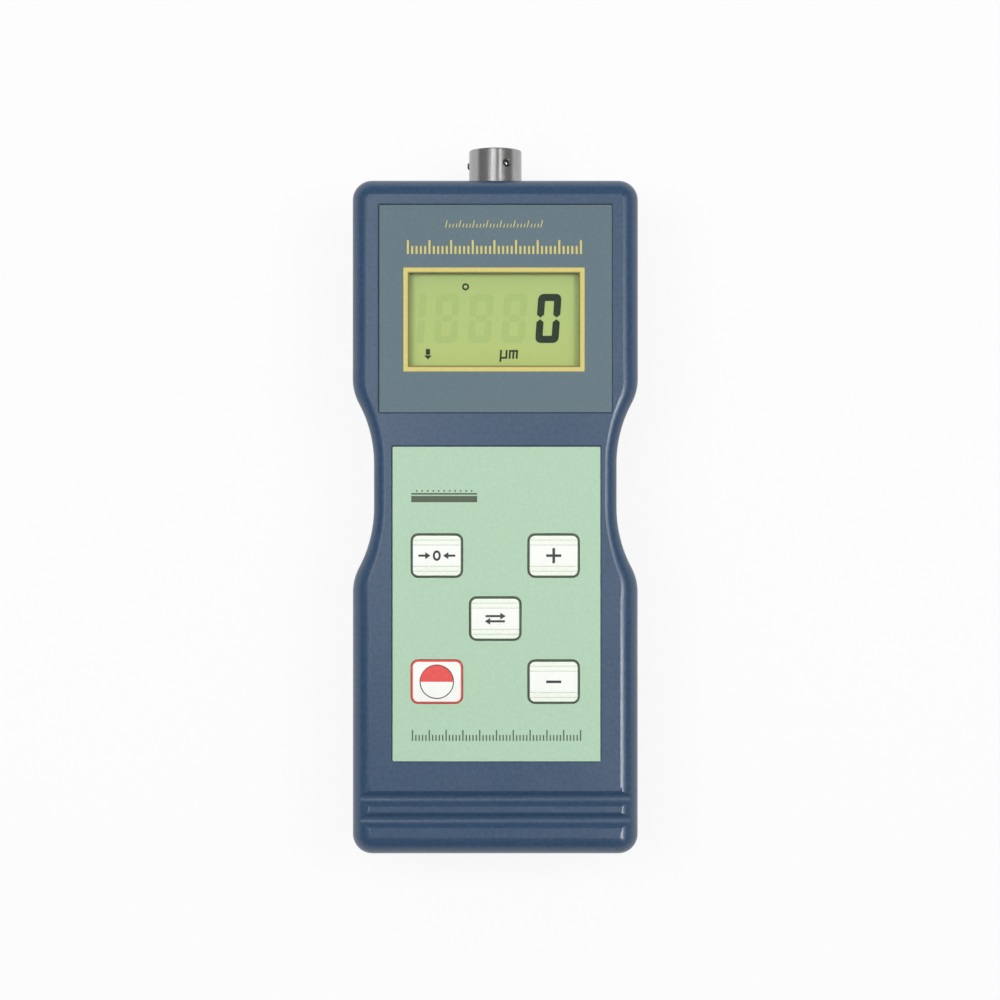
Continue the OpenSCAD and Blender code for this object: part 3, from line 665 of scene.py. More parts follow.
def mix_colours(tree, factor, a, b):
    node = add_node(tree, "ShaderNodeMix", data_type="RGBA")
    for socket, value in zip((node.inputs[0], node.inputs[6], node.inputs[7]), (factor, a, b)):
        if isinstance(value, bpy.types.NodeSocket):
            tree.links.new(value, socket)
        else:
            socket.default_value = value
    return node.outputs[2]


def effect(name, inputs, outputs, build):
    """Shader node group that several finishes share."""
    if name in bpy.data.node_groups:
        return bpy.data.node_groups[name]
    tree = bpy.data.node_groups.new(name, "ShaderNodeTree")
    for label, kind, default in inputs:
        socket = tree.interface.new_socket(name=label, in_out="INPUT", socket_type=kind)
        socket.default_value = default
    for label in outputs:
        tree.interface.new_socket(name=label, in_out="OUTPUT", socket_type="NodeSocketFloat")
    entry = tree.nodes.new("NodeGroupInput")
    result = tree.nodes.new("NodeGroupOutput")
    for label, socket in build(tree, entry.outputs).items():
        tree.links.new(socket, result.inputs[label])
    return tree


def object_place(tree):
    return add_node(tree, "ShaderNodeTexCoord").outputs["Object"]


def build_grain(tree, given):
    place = object_place(tree)
    fine = noise(tree, place, given["Scale"], 3.0, 0.6)
    cells = add_node(
        tree, "ShaderNodeTexVoronoi",
        {"Vector": place, "Scale": times(tree, given["Scale"], 0.6)}, feature="SMOOTH_F1",
    ).outputs["Distance"]
    height = plus(tree, times(tree, fine, 0.65), times(tree, cells, 0.35))
    blotch = noise(tree, place, times(tree, given["Scale"], 0.28), 4.0, 0.62)
    height = plus(tree, height, times(tree, blotch, given["Pebble"]))
    return {"Height": height, "Tone": remap(tree, blotch, 0.3, 0.7)}


def build_handling(tree, given):
    place = object_place(tree)
    wide = noise(tree, place, given["Scale"], 3.0, 0.55, 0.8)
    smear = noise(tree, place, times(tree, given["Scale"], 7.0), 2.0, 0.5, 0.4)
    both = plus(tree, times(tree, wide, 0.75), times(tree, smear, 0.25))
    return {"Sheen": remap(tree, both, 0.36, 0.64)}


# Mask of rounded edges, strongest half-way between face and side and broken by noise: worn edges, drawn
# lighter partly as painted sheen.
def build_edge_wear_sheen(tree, given):
    coordinates = add_node(tree, "ShaderNodeTexCoord")
    parts = add_node(tree, "ShaderNodeSeparateXYZ", {0: coordinates.outputs["Normal"]})
    z = parts.outputs["Z"]
    tilt = maths(tree, "SUBTRACT", times(tree, times(tree, z, z), 2.0), 1.0)
    ridge = maths(tree, "SUBTRACT", 1.0, maths(tree, "ABSOLUTE", tilt))
    worn = noise(tree, coordinates.outputs["Object"], given["Scale"], 3.0, 0.6)
    return {"Mask": times(tree, maths(tree, "POWER", ridge, 2.0), remap(tree, worn, 0.35, 0.7))}


def build_lines(tree, given):
    along = add_node(
        tree, "ShaderNodeVectorMath", {0: object_place(tree), 1: given["Direction"]}, operation="DOT_PRODUCT"
    ).outputs["Value"]
    fine = add_node(
        tree, "ShaderNodeTexNoise",
        {"W": times(tree, along, given["Scale"]), "Scale": 1.0, "Detail": 3.0, "Roughness": 0.7},
        noise_dimensions="1D",
    ).outputs["Fac"]
    return {"Lines": remap(tree, fine, 0.25, 0.75)}


def grain_effect():
    inputs = [("Scale", "NodeSocketFloat", 4200.0), ("Pebble", "NodeSocketFloat", 0.0)]
    return effect("Moulded Grain", inputs, ("Height", "Tone"), build_grain)


def handling_effect():
    return effect("Handling Marks", [("Scale", "NodeSocketFloat", 40.0)], ("Sheen",), build_handling)


def edge_wear_sheen_effect():
    return effect("Edge Polish", [("Scale", "NodeSocketFloat", 600.0)], ("Mask",), build_edge_wear_sheen)


def lines_effect():
    return effect(
        "Tool Lines",
        [("Direction", "NodeSocketVector", (0, 1, 0)), ("Scale", "NodeSocketFloat", 9000.0)],
        ("Lines",), build_lines,
    )


def use(tree, group, **values):
    """Places a shared effect in a material with its own values."""
    node = tree.nodes.new("ShaderNodeGroup")
    node.node_tree = group
    for key, value in values.items():
        node.inputs[key].default_value = value
    return node.outputs


def new_material(name, **sockets):
    """Material with one Principled shader and constant values on its sockets."""
    material = bpy.data.materials.new(name)
    material.use_nodes = True
    shader = material.node_tree.nodes["Principled BSDF"]
    for key, value in sockets.items():
        shader.inputs[key.replace("_", " ")].default_value = value
    return material, material.node_tree, shader


def set_bump(tree, shader, height, depth):
    bump = add_node(tree, "ShaderNodeBump", {"Height": height, "Distance": depth, "Strength": 1.0})
    tree.links.new(bump.outputs["Normal"], shader.inputs["Normal"])


def plastic(name, rgb, roughness, grain=4200.0, depth=0.012 * MM, spread=0.10, worn_edge_sheen=0.0, level=0.3,
            pebble=0.0):
    """Moulded or printed plastic: grain, mottled tone, handling marks, and polished edges whose lighter tone
    is partly wear and partly painted sheen.
    """
    if name in bpy.data.materials:
        return bpy.data.materials[name]
    material, tree, shader = new_material(name, Specular_IOR_Level=level)
    grains = use(tree, grain_effect(), Scale=grain, Pebble=pebble)
    marks = use(tree, handling_effect(), Scale=45.0)
    tone = mix_colours(tree, grains["Tone"], shade(rgb, 1 - spread), shade(rgb, 1 + spread))
    rough = remap(tree, marks["Sheen"], 0, 1, roughness + SHEEN_SWING, roughness - SHEEN_SWING)
    if worn_edge_sheen:
        mask = times(tree, use(tree, edge_wear_sheen_effect())["Mask"], worn_edge_sheen)
        # Painted sheen: worn edges are drawn lighter, as if catching the light, on top of their real wear.
        tone = mix_colours(tree, mask, tone, shade(rgb, EDGE_SHEEN_TONE))
        rough = maths(tree, "SUBTRACT", rough, times(tree, mask, POLISH_GLOSS))
    tree.links.new(tone, shader.inputs["Base Color"])
    tree.links.new(rough, shader.inputs["Roughness"])
    set_bump(tree, shader, grains["Height"], depth)
    return material


def metal(name, rgb, roughness, direction=(0, 1, 0), scale=9000.0, depth=0.004 * MM, spread=0.12,
          wear=0.055, plating=1.0):
    """Turned or brushed metal: tool lines, stained tone and handling marks."""
    if name in bpy.data.materials:
        return bpy.data.materials[name]
    material, tree, shader = new_material(name, Metallic=plating)
    lines = use(tree, lines_effect(), Direction=direction, Scale=scale)["Lines"]
    marks = use(tree, handling_effect(), Scale=160.0)["Sheen"]
    stain = times(tree, lines, marks)
    tone = mix_colours(tree, stain, shade(rgb, 1 - spread), shade(rgb, 1 + spread))
    rough = plus(tree, remap(tree, marks, 0, 1, roughness + wear, roughness - wear),
                 times(tree, lines, 0.9 * wear))
    tree.links.new(tone, shader.inputs["Base Color"])
    tree.links.new(rough, shader.inputs["Roughness"])
    set_bump(tree, shader, lines, depth)
    return material


def ink(name, rgb, roughness=0.45, level=0.35):
    """Screen-printed ink with a slightly uneven coat."""
    return plastic(name, rgb, roughness, grain=9000.0, depth=0.003 * MM, spread=0.09, level=level)


def display_finish(colours):
    """Reflector behind the display's glass: painted shade darkening it towards the top, soft cloudy tone,
    fine conductor pattern, glossy film.
    """
    material, tree, shader = new_material(
        "display_reflector", Specular_IOR_Level=0.3, Coat_Weight=0.12, Coat_Roughness=0.06
    )
    place = object_place(tree)
    parts = add_node(tree, "ShaderNodeSeparateXYZ", {0: place})
    # Painted shade: warmer and lighter at the bottom of the window, darker and bluer towards its top, as the
    # light falls.
    low, high = WINDOW.y - 12 * MM, WINDOW.y + 12 * MM
    rise = remap(tree, parts.outputs["Y"], low, high)
    cloud = noise(tree, place, 160.0, 3.0, 0.5)
    top_shade_and_cloud = plus(tree, times(tree, rise, 0.75), times(tree, cloud, 0.25))
    rgb = colours.display_green
    lit_bottom_colour = (1.06 * rgb[0], rgb[1], 0.88 * rgb[2])
    tone = mix_colours(tree, top_shade_and_cloud, shade(lit_bottom_colour, 1.0), shade((rgb[0], rgb[1], rgb[2] * 1.1), 0.95))
    fine = noise(tree, place, 5200.0, 2.0, 0.6)
    tree.links.new(mix_colours(tree, times(tree, fine, 0.08), tone, shade(rgb, 0.7)),
                   shader.inputs["Base Color"])
    tree.links.new(remap(tree, cloud, 0.3, 0.7, 0.42, 0.5), shader.inputs["Roughness"])
    set_bump(tree, shader, fine, 0.003 * MM)
    return material


def lens_finish():
    """Clear window: lamps reach the display through it, and its surface carries faint handling marks."""
    material, tree, shader = new_material(
        "window_clear", Base_Color=(0.97, 0.985, 0.975, 1), Transmission_Weight=1.0, IOR=1.15
    )
    marks = use(tree, handling_effect(), Scale=90.0)["Sheen"]
    tree.links.new(remap(tree, marks, 0, 1, 0.03, 0.06), shader.inputs["Roughness"])
    clear = add_node(tree, "ShaderNodeBsdfTransparent", {"Color": (0.97, 0.985, 0.975, 1)})
    path = add_node(tree, "ShaderNodeLightPath")
    lamp_or_soft = maths(tree, "MAXIMUM", path.outputs["Is Shadow Ray"], path.outputs["Is Diffuse Ray"])
    mixed = add_node(
        tree, "ShaderNodeMixShader", {0: lamp_or_soft, 1: shader.outputs[0], 2: clear.outputs[0]}
    )
    tree.links.new(mixed.outputs[0], tree.nodes["Material Output"].inputs["Surface"])
    return material


def board_finish():
    """Green solder mask over copper tracks."""
    material, tree, shader = new_material("solder_mask", Specular_IOR_Level=0.5)
    place = object_place(tree)
    tracks = add_node(
        tree, "ShaderNodeTexBrick",
        {"Vector": place, "Scale": 380.0, "Color1": (0.010, 0.075, 0.028, 1),
         "Color2": (0.014, 0.095, 0.035, 1), "Mortar": (0.030, 0.150, 0.060, 1), "Mortar Size": 0.03},
    )
    marks = use(tree, handling_effect(), Scale=120.0)["Sheen"]
    tree.links.new(tracks.outputs["Color"], shader.inputs["Base Color"])
    tree.links.new(remap(tree, marks, 0, 1, 0.36, 0.28), shader.inputs["Roughness"])
    set_bump(tree, shader, tracks.outputs["Fac"], 0.02 * MM)
    return material


# Repeated pieces


def repeat_tree(name, inputs, build):
    """Geometry node tree with named inputs; it ends in real geometry with a material."""
    if name in bpy.data.node_groups:
        return bpy.data.node_groups[name]
    tree = bpy.data.node_groups.new(name, "GeometryNodeTree")
    tree.interface.new_socket(name="Geometry", in_out="OUTPUT", socket_type="NodeSocketGeometry")
    tree.interface.new_socket(name="Geometry", in_out="INPUT", socket_type="NodeSocketGeometry")
    for label, kind, default in inputs + [("Material", "NodeSocketMaterial", None)]:
        socket = tree.interface.new_socket(name=label, in_out="INPUT", socket_type=kind)
        if default is not None:
            socket.default_value = default
    entry = tree.nodes.new("NodeGroupInput")
    result = tree.nodes.new("NodeGroupOutput")
    made = build(tree, entry.outputs)
    real = add_node(tree, "GeometryNodeRealizeInstances", {"Geometry": made})
    coated = add_node(
        tree, "GeometryNodeSetMaterial", {"Geometry": real.outputs[0], "Material": entry.outputs["Material"]}
    )
    tree.links.new(coated.outputs[0], result.inputs[0])
    return tree


def grow(name, tree, base=None, **values):
    """Plain mesh made by a geometry node tree with these values."""
    piece = add_piece(name, base or bpy.data.meshes.new(name))
    step = piece.modifiers.new(tree.name, "NODES")
    step.node_group = tree
    for item in tree.interface.items_tree:
        if item.in_out == "INPUT" and item.name.replace(" ", "_") in values:
            step[item.identifier] = values[item.name.replace(" ", "_")]
    settle(piece)
    if not piece.data.polygons:
        raise RuntimeError(f"{name} came out empty")
    return piece


def build_scale(tree, given):
    """Row of ticks along X, every few of them longer."""
    count = given["Count"]
    half = times(tree, maths(tree, "SUBTRACT", count, 1.0), -0.5)
    start = add_node(tree, "ShaderNodeCombineXYZ", {"X": times(tree, half, given["Pitch"])})
    step = add_node(tree, "ShaderNodeCombineXYZ", {"X": given["Pitch"]})
    line = add_node(
        tree, "GeometryNodeMeshLine",
        {"Count": count, "Start Location": start.outputs[0], "Offset": step.outputs[0]},
    )
    index = add_node(tree, "GeometryNodeInputIndex").outputs[0]
    left = maths(tree, "MODULO", index, given["Every"])
    is_long = maths(tree, "LESS_THAN", left, 0.5)
    extra = maths(tree, "SUBTRACT", given["Long Tick"], given["Short Tick"])
    tall = plus(tree, given["Short Tick"], times(tree, is_long, extra))
    size = add_node(
        tree, "ShaderNodeCombineXYZ", {"X": given["Tick Width"], "Y": tall, "Z": given["Thickness"]}
    )
    raised = add_node(
        tree, "ShaderNodeCombineXYZ",
        {"Y": times(tree, tall, 0.5), "Z": times(tree, given["Thickness"], 0.5)},
    )
    moved = add_node(
        tree, "GeometryNodeSetPosition", {"Geometry": line.outputs[0], "Offset": raised.outputs[0]}
    )
    tick = add_node(tree, "GeometryNodeMeshCube", {"Size": (1, 1, 1)})
    turn = add_node(tree, "ShaderNodeCombineXYZ", {"Z": given["Lean"]})
    ticks = add_node(
        tree, "GeometryNodeInstanceOnPoints",
        {"Points": moved.outputs[0], "Instance": tick.outputs[0], "Rotation": turn.outputs[0],
         "Scale": size.outputs[0]},
    )
    return add_node(
        tree, "GeometryNodeTransform", {"Geometry": ticks.outputs[0], "Translation": given["Place"]}
    ).outputs[0]


def scale_tree():
    return repeat_tree(
        "Graduation",
        [
            ("Count", "NodeSocketInt", 41),
            ("Every", "NodeSocketInt", 5),
            ("Pitch", "NodeSocketFloat", 1 * MM),
            ("Tick Width", "NodeSocketFloat", 0.4 * MM),
            ("Short Tick", "NodeSocketFloat", 2 * MM),
            ("Long Tick", "NodeSocketFloat", 3 * MM),
            ("Thickness", "NodeSocketFloat", 0.02 * MM),
            ("Lean", "NodeSocketFloat", 0.0),
            ("Place", "NodeSocketVector", (0, 0, 0)),
        ],
        build_scale,
    )


def build_set_out(tree, given):
    """Copies of a pattern on points that carry their own turn."""
    pattern = add_node(tree, "GeometryNodeObjectInfo", {"Object": given["Pattern"]})
    turn = add_node(tree, "GeometryNodeInputNamedAttribute", {"Name": "turn"}, data_type="FLOAT_VECTOR")
    return add_node(
        tree, "GeometryNodeInstanceOnPoints",
        {"Points": given["Geometry"], "Instance": pattern.outputs["Geometry"], "Rotation": turn.outputs[0]},
    ).outputs[0]


def set_out(name, pattern, places, material):
    """Copies a pattern to places of (point, turn about each axis) and removes the pattern."""
    points = bpy.data.meshes.new(name)
    points.from_pydata([p for p, _ in places], [], [])
    turns = points.attributes.new("turn", "FLOAT_VECTOR", "POINT")
    for value, (_, turn) in zip(turns.data, places):
        value.vector = turn
    tree = repeat_tree("Set Out", [("Pattern", "NodeSocketObject", None)], build_set_out)
    piece = grow(name, tree, points, Pattern=pattern, Material=material)
    mesh = pattern.data
    bpy.data.objects.remove(pattern)
    bpy.data.meshes.remove(mesh)
    return piece


def build_coil(tree, given):
    """Tapering coil of round wire that stands on local Z."""
    spiral = add_node(
        tree, "GeometryNodeCurveSpiral",
        {"Resolution": 28, "Rotations": given["Turns"], "Start Radius": given["Wide Radius"],
         "End Radius": given["Narrow Radius"], "Height": given["Height"]},
    )
    wire = add_node(
        tree, "GeometryNodeCurvePrimitiveCircle", {"Resolution": 10, "Radius": given["Wire Radius"]}
    )
    tube = add_node(
        tree, "GeometryNodeCurveToMesh",
        {"Curve": spiral.outputs[0], "Profile Curve": wire.outputs[0], "Fill Caps": True},
    )
    return tube.outputs[0]


def coil_tree():
    return repeat_tree(
        "Coil Spring",
        [
            ("Turns", "NodeSocketFloat", 3.0),
            ("Wide Radius", "NodeSocketFloat", 3.65 * MM),
            ("Narrow Radius", "NodeSocketFloat", 2.74 * MM),
            ("Height", "NodeSocketFloat", 3.3 * MM),
            ("Wire Radius", "NodeSocketFloat", 0.35 * MM),
        ],
        build_coil,
    )


# Pieces


def case_finish(colours):
    return plastic("case_moulded", colours.case_blue, 0.31, grain=3800.0, depth=0.012 * MM,
                   spread=0.20, worn_edge_sheen=0.10, level=0.66, pebble=1.5)


def corner_places(case):
    x, y = case.width / 2 - 6 * MM, case.length / 2 - 8.5 * MM
    return [(-x, -y), (x, -y), (-x, y), (x, y)]


def board_screw_places():
    low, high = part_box("main_board")
    x = high.x - 3.5 * MM
    return [(s * x, y) for s in (-1, 1) for y in (low.y + 3.2 * MM, high.y - 3.2 * MM)]


def steel_finish(colours):
    return metal("screw_plated", colours.steel, 0.32, (0.6, 0.8, 0), 7000.0)


def key_hole(key, face, gap, levels):
    """Cutting tool for the hole of a key, wider than the key by a gap all round."""
    place = middle(key + "_key")
    return plate(key + "_hole", place.x, place.y, face.key_width + 2 * gap, face.key_length + 2 * gap,
                 face.key_corner + gap, levels)


def groove_section(case, y):
    """Section of a grip groove with soft edges, as (y, z) points."""
    half, deep, top, soft = case.groove_width / 2, case.groove_depth, case.depth, case.lip
    r = (half * half + deep * deep) / (2 * deep)
    reach = math.degrees(math.asin(half / r))
    edge = ((3 * soft, CUT), (1.6 * soft, 0.02 * soft), (0.5 * soft, -0.35 * soft))
    upper = [(y + half + out, top + up) for out, up in edge]
    lower = [(y - half - out, top + up) for out, up in reversed(edge)]
    trough = arc(y, top - deep + r, r, 270 + reach, 270 - reach, 14)[1:-1]
    return (upper + trough + lower)[::-1]


class GAUGE_OT_front_cover(bpy.types.Operator):
    """Front cover with its pockets, grip grooves, bosses and rounded face"""

    bl_idname = "gauge.front_cover"
    bl_label = "Front Cover"

    def execute(self, context):
        case, face = context.scene.gauge_case, context.scene.gauge_face
        top, inner = case.depth, case.depth - case.face_wall
        boss_low = case.parting + LIP_HEIGHT + SLIDE_GAP
        corners, board_corners = corner_places(case), board_screw_places()
        cover = face_shell("front_cover_moulded", case, case_finish(context.scene.gauge_colours))
        hollow = case_loft(
            "hollow", case,
            [(case.wall, case.parting - CUT),
             *face_levels(case.wall + case.draft, case.face_round - case.wall, inner, INNER_STEPS)],
        )
        cradle_half, seat, seat_low, seat_top = 11.4 * MM, 5.63 * MM, 60 * MM, 90 * MM
        cradle = box("cradle", (-cradle_half, FLANGE_LOW - 1.6 * MM, boss_low),
                     (cradle_half, FLANGE_LOW - 0.1 * MM, top + CUT))
        carve(cradle, socket_rod("seat", seat, seat_low, seat_top),
              box("slot", (-seat, seat_low, 10 * MM), (seat, seat_top, SOCKET_Z)))
        carve(
            hollow, cradle,
            *rods("boss", corners, BOSS_RADIUS, boss_low, top + CUT),
            *rods("board_boss", board_corners, 2.4 * MM, BOARD_TOP, top + CUT),
        )
        tools = [hollow]
        for node, shift in (("display_panel", 0), ("keypad_sheet", POCKET_SHARE * face.keypad_shift)):
            size, place = span(node), middle(node)
            tools.append(plate(
                node + "_pocket", place.x + shift, place.y, size.x + 2 * face.sheet_gap,
                size.y + 2 * face.sheet_gap, face.sheet_corner + face.sheet_gap,
                flared(POCKET_Z, top, case.lip, top + CUT),
            ))
        lens, rim, through = span("window_lens"), 1.6 * MM, [(inner - CUT, 0), (top, 0)]
        tools.append(plate("lens_seat", 0, WINDOW.y, lens.x + 2 * FIT_GAP, lens.y + 2 * FIT_GAP,
                           face.sheet_corner, [(LENS_Z, 0), (top, 0)]))
        tools.append(plate("opening", 0, WINDOW.y, face.window_width + rim, face.window_length + rim,
                           face.sheet_corner, through))
        tools += [key_hole(key, face, SLIDE_GAP, through) for key in KEYS]
        for i in range(2):
            y = case.groove_in - case.length / 2 - i * case.groove_pitch
            tools.append(bar_along_x("groove", groove_section(case, y), case.width))
        tools += rods("pilot", corners, 1.2 * MM, case.parting, 27.2 * MM)
        tools += rods("board_pilot", board_corners, MM, BOARD_LOW, 28.4 * MM)
        tools.append(socket_rod("socket_hole", SOCKET_RADIUS + FIT_GAP, FLANGE_LOW, case.length / 2 + CUT))
        tools.append(socket_rod("flange_seat", FLANGE_RADIUS + HOLE_GAP, FLANGE_LOW - 0.1 * MM,
                                FLANGE_TOP + 0.1 * MM))
        carve(cover, *tools)
        dress(smooth(cover, fold_height=top), "housing", "case_blue", "front_cover")
        return {"FINISHED"}


class GAUGE_OT_rear_cover(bpy.types.Operator):
    """Rear cover with its battery bay, door rails and screw recesses"""

    bl_idname = "gauge.rear_cover"
    bl_label = "Rear Cover"

    def execute(self, context):
        case = context.scene.gauge_case
        corners, soft = corner_places(case), case.lip
        lip_top = case.parting + LIP_HEIGHT
        rear_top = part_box("rear_cover")[1].z
        bay_low, bay_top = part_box("lower_contact_bridge")[0].y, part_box("upper_contact_left")[1].y
        door_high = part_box("battery_door")[1]
        half, ceiling, bay_roof, bay_wall = 22.25 * MM, 13 * MM, 14.4 * MM, 1.4 * MM
        lip_out = case.wall + LIP_GAP
        lip_in = lip_out + LIP_WALL
        cover = case_loft(
            "rear_cover_moulded", case,
            [*back_levels(case.draft, case.back_round, 0, ROUND_STEPS), (0, case.parting - CHAMFER),
             (CHAMFER, case.parting), (lip_out, case.parting), (lip_out, max(lip_top, bay_roof) + CUT)],
            case_finish(context.scene.gauge_colours),
        )
        hollow = case_loft(
            "hollow", case,
            [*back_levels(case.wall + case.draft, case.back_round - case.wall, case.back_wall, INNER_STEPS),
             (case.wall, case.parting - 2 * LIP_HEIGHT), (lip_in, case.parting - LIP_HEIGHT),
             (lip_in, lip_top), (case.wall, lip_top), (case.wall, rear_top + 2 * CUT)],
        )
        end = -case.length / 2 - CUT
        carve(
            hollow, *rods("boss", corners, BOSS_RADIUS, -CUT, lip_top),
            box("bay_walls", (-half - bay_wall, end, -CUT), (half + bay_wall, bay_top + bay_wall, bay_roof)),
            box("rails", (-half - 2 * bay_wall, end, -CUT),
                (half + 2 * bay_wall, door_high.y + bay_wall, 3.4 * MM)),
        )
        slide_half, tongue_half = DOOR_HALF + SLIDE_GAP, door_high.x + SLIDE_GAP
        rail_low, rail_top = 1.025 * MM, door_high.z + SLIDE_GAP - FIT_GAP
        section = mirrored([
            (slide_half + soft + CUT, -CUT), (slide_half, soft), (slide_half, rail_low),
            (tongue_half, rail_low), (tongue_half, rail_top),
        ])
        slide = bar_along_y("slide", section, door_high.y + SLIDE_GAP, -case.length)
        tabs = [box("tab_hole", (x - 1.55 * MM, bay_low, ceiling - CUT),
                    (x + 1.55 * MM, bay_low + 0.65 * MM, rear_top + CUT)) for x in (-16.5 * MM, 16.5 * MM)]
        r, relief = 2.85 * MM, FLANGE_RADIUS + 0.5 * MM
        recess = [(r + soft, -CUT), (r + soft, 0), (r, soft), (r, 5 * MM)]
        carve(
            cover, hollow, box("bay", (-half, bay_low, -CUT), (half, bay_top, ceiling)), slide, *tabs,
            *[turned("recess", recess, upright(x, y)) for x, y in corners],
            *rods("shaft", corners, 1.45 * MM, 0, rear_top + CUT),
            box("socket_relief", (-relief, FLANGE_LOW - MM, case.parting),
                (relief, case.length / 2, rear_top + 2 * CUT)),
            socket_rod("flange_seat", FLANGE_RADIUS + HOLE_GAP, FLANGE_LOW - HOLE_GAP, FLANGE_TOP + HOLE_GAP),
        )
        dress(smooth(cover), "housing", "case_blue", "rear_cover")
        return {"FINISHED"}


class GAUGE_OT_battery_door(bpy.types.Operator):
    """Sliding battery door with its thumb grip and opening mark"""

    bl_idname = "gauge.battery_door"
    bl_label = "Battery Door"

    def execute(self, context):
        case = context.scene.gauge_case
        low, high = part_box("battery_door")
        half, step, soft = DOOR_HALF, 1.225 * MM, case.lip
        finish = case_finish(context.scene.gauge_colours)
        door = case_loft(
            "battery_door_moulded", case,
            [*back_levels(case.draft, case.back_round, 0, ROUND_STEPS), (0, case.parting)], finish,
        )
        section = mirrored([
            (half - soft, low.z), (half, low.z + soft), (half, step), (high.x, step), (high.x, high.z),
        ])
        carve(door, bar_along_y("slide", section, high.y, -case.length), how="INTERSECT")
        grip_y, grip_w, grip_l, deep = high.y - 11 * MM, 22 * MM, 11 * MM, 1.9 * MM / 3
        floor = low.z + deep
        mouth = [(-CUT, soft), (low.z, soft), (low.z + 0.3 * soft, 0.3 * soft), (low.z + soft, 0), (floor, 0)]
        carve(door, plate("grip", 0, grip_y, grip_w, grip_l, grip_l / 4, mouth))
        dress(smooth(soften(door, 0.08 * MM)), "door", "case_blue", "battery_door")
        tip = [(0.28 * deep, 0.9 * MM), (0.8 * deep, 1.05 * MM), (deep, 1.4 * MM)]
        profile = [(r, inset - grip_w / 2) for r, inset in tip]
        profile += [(r, grip_w / 2 - inset) for r, inset in reversed(tip)]
        ridge = turned("ridge", profile, Matrix.Rotation(math.pi / 2, 4, "Y"), steps=24)
        count, pitch = 5, 0.172 * grip_l
        places = [((0, grip_y + (i - count // 2) * pitch, floor), (0, 0, 0)) for i in range(count)]
        dress(smooth(set_out("door_grip_ridges", ridge, places, finish)), "door", "case_blue")
        y, w, l = grip_y - 11.5 * MM, 9 * MM, 5.2 * MM
        corners = ((0, -l / 2), (w / 2, l / 2), (-w / 2, l / 2))
        levels = ((1.0, low.z + 0.2 * MM), (0.94, low.z - 0.09 * MM), (0.86, low.z - 0.11 * MM))
        rings = [[(x * k, y + py * k, z) for x, py in corners] for k, z in levels]
        mark = loft("door_opening_arrow", rings, finish)
        bm = opened(mark)
        bmesh.ops.recalc_face_normals(bm, faces=bm.faces)
        put_back(bm, mark)
        dress(smooth(mark), "door", "case_blue")
        return {"FINISHED"}


class GAUGE_OT_case_screws(bpy.types.Operator):
    """Four case screws with cross recesses"""

    bl_idname = "gauge.case_screws"
    bl_label = "Case Screws"

    def execute(self, context):
        low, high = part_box("case_screws")
        head, r, core = low.z + 2 * MM, 2.6 * MM, 1.15 * MM
        screw = turned(
            "screw",
            [(r - 0.55 * MM, low.z), (r - 0.2 * MM, low.z + 0.1 * MM), (r - 0.04 * MM, low.z + 0.35 * MM),
             (r, low.z + 0.8 * MM), (r, head), (core, head), (core, high.z - MM), (0.3 * core, high.z)],
            Matrix(), steps=40,
        )
        long, narrow = 1.6 * MM, 0.35 * MM
        carve(screw, *[box("slot", (-x, -y, low.z - CUT), (x, y, low.z + MM))
                       for x, y in ((long, narrow), (narrow, long))])
        turns = (0.35, 1.1, 0.8, 0.1)
        corners = corner_places(context.scene.gauge_case)
        places = [((x, y, 0), (0, 0, turn)) for (x, y), turn in zip(corners, turns)]
        finish = steel_finish(context.scene.gauge_colours)
        piece = smooth(set_out("case_screws_plated", screw, places, finish))
        dress(piece, "housing", "screw_steel", "case_screws")
        return {"FINISHED"}


def sheet_levels():
    """Levels of a thin sheet with a soft upper edge."""
    soft = SHEET_SOFT
    return [(POCKET_Z, 0), (SHEET_TOP - soft, 0), (SHEET_TOP - 0.3 * soft, -0.3 * soft), (SHEET_TOP, -soft)]


def scale_marks(name, slot, finish, thickness, count, every, pitch, width, short, tall, x, y, slant=0):
    """Row of ticks printed on a sheet; pitch, ticks and place in millimetres."""
    marks = grow(
        name, scale_tree(), Count=count, Every=every, Pitch=pitch * MM, Tick_Width=width * MM,
        Short_Tick=short * MM, Long_Tick=tall * MM, Thickness=thickness, Lean=math.radians(slant),
        Place=(x * MM, y * MM, SHEET_TOP), Material=finish,
    )
    dress(marks, "housing", slot)


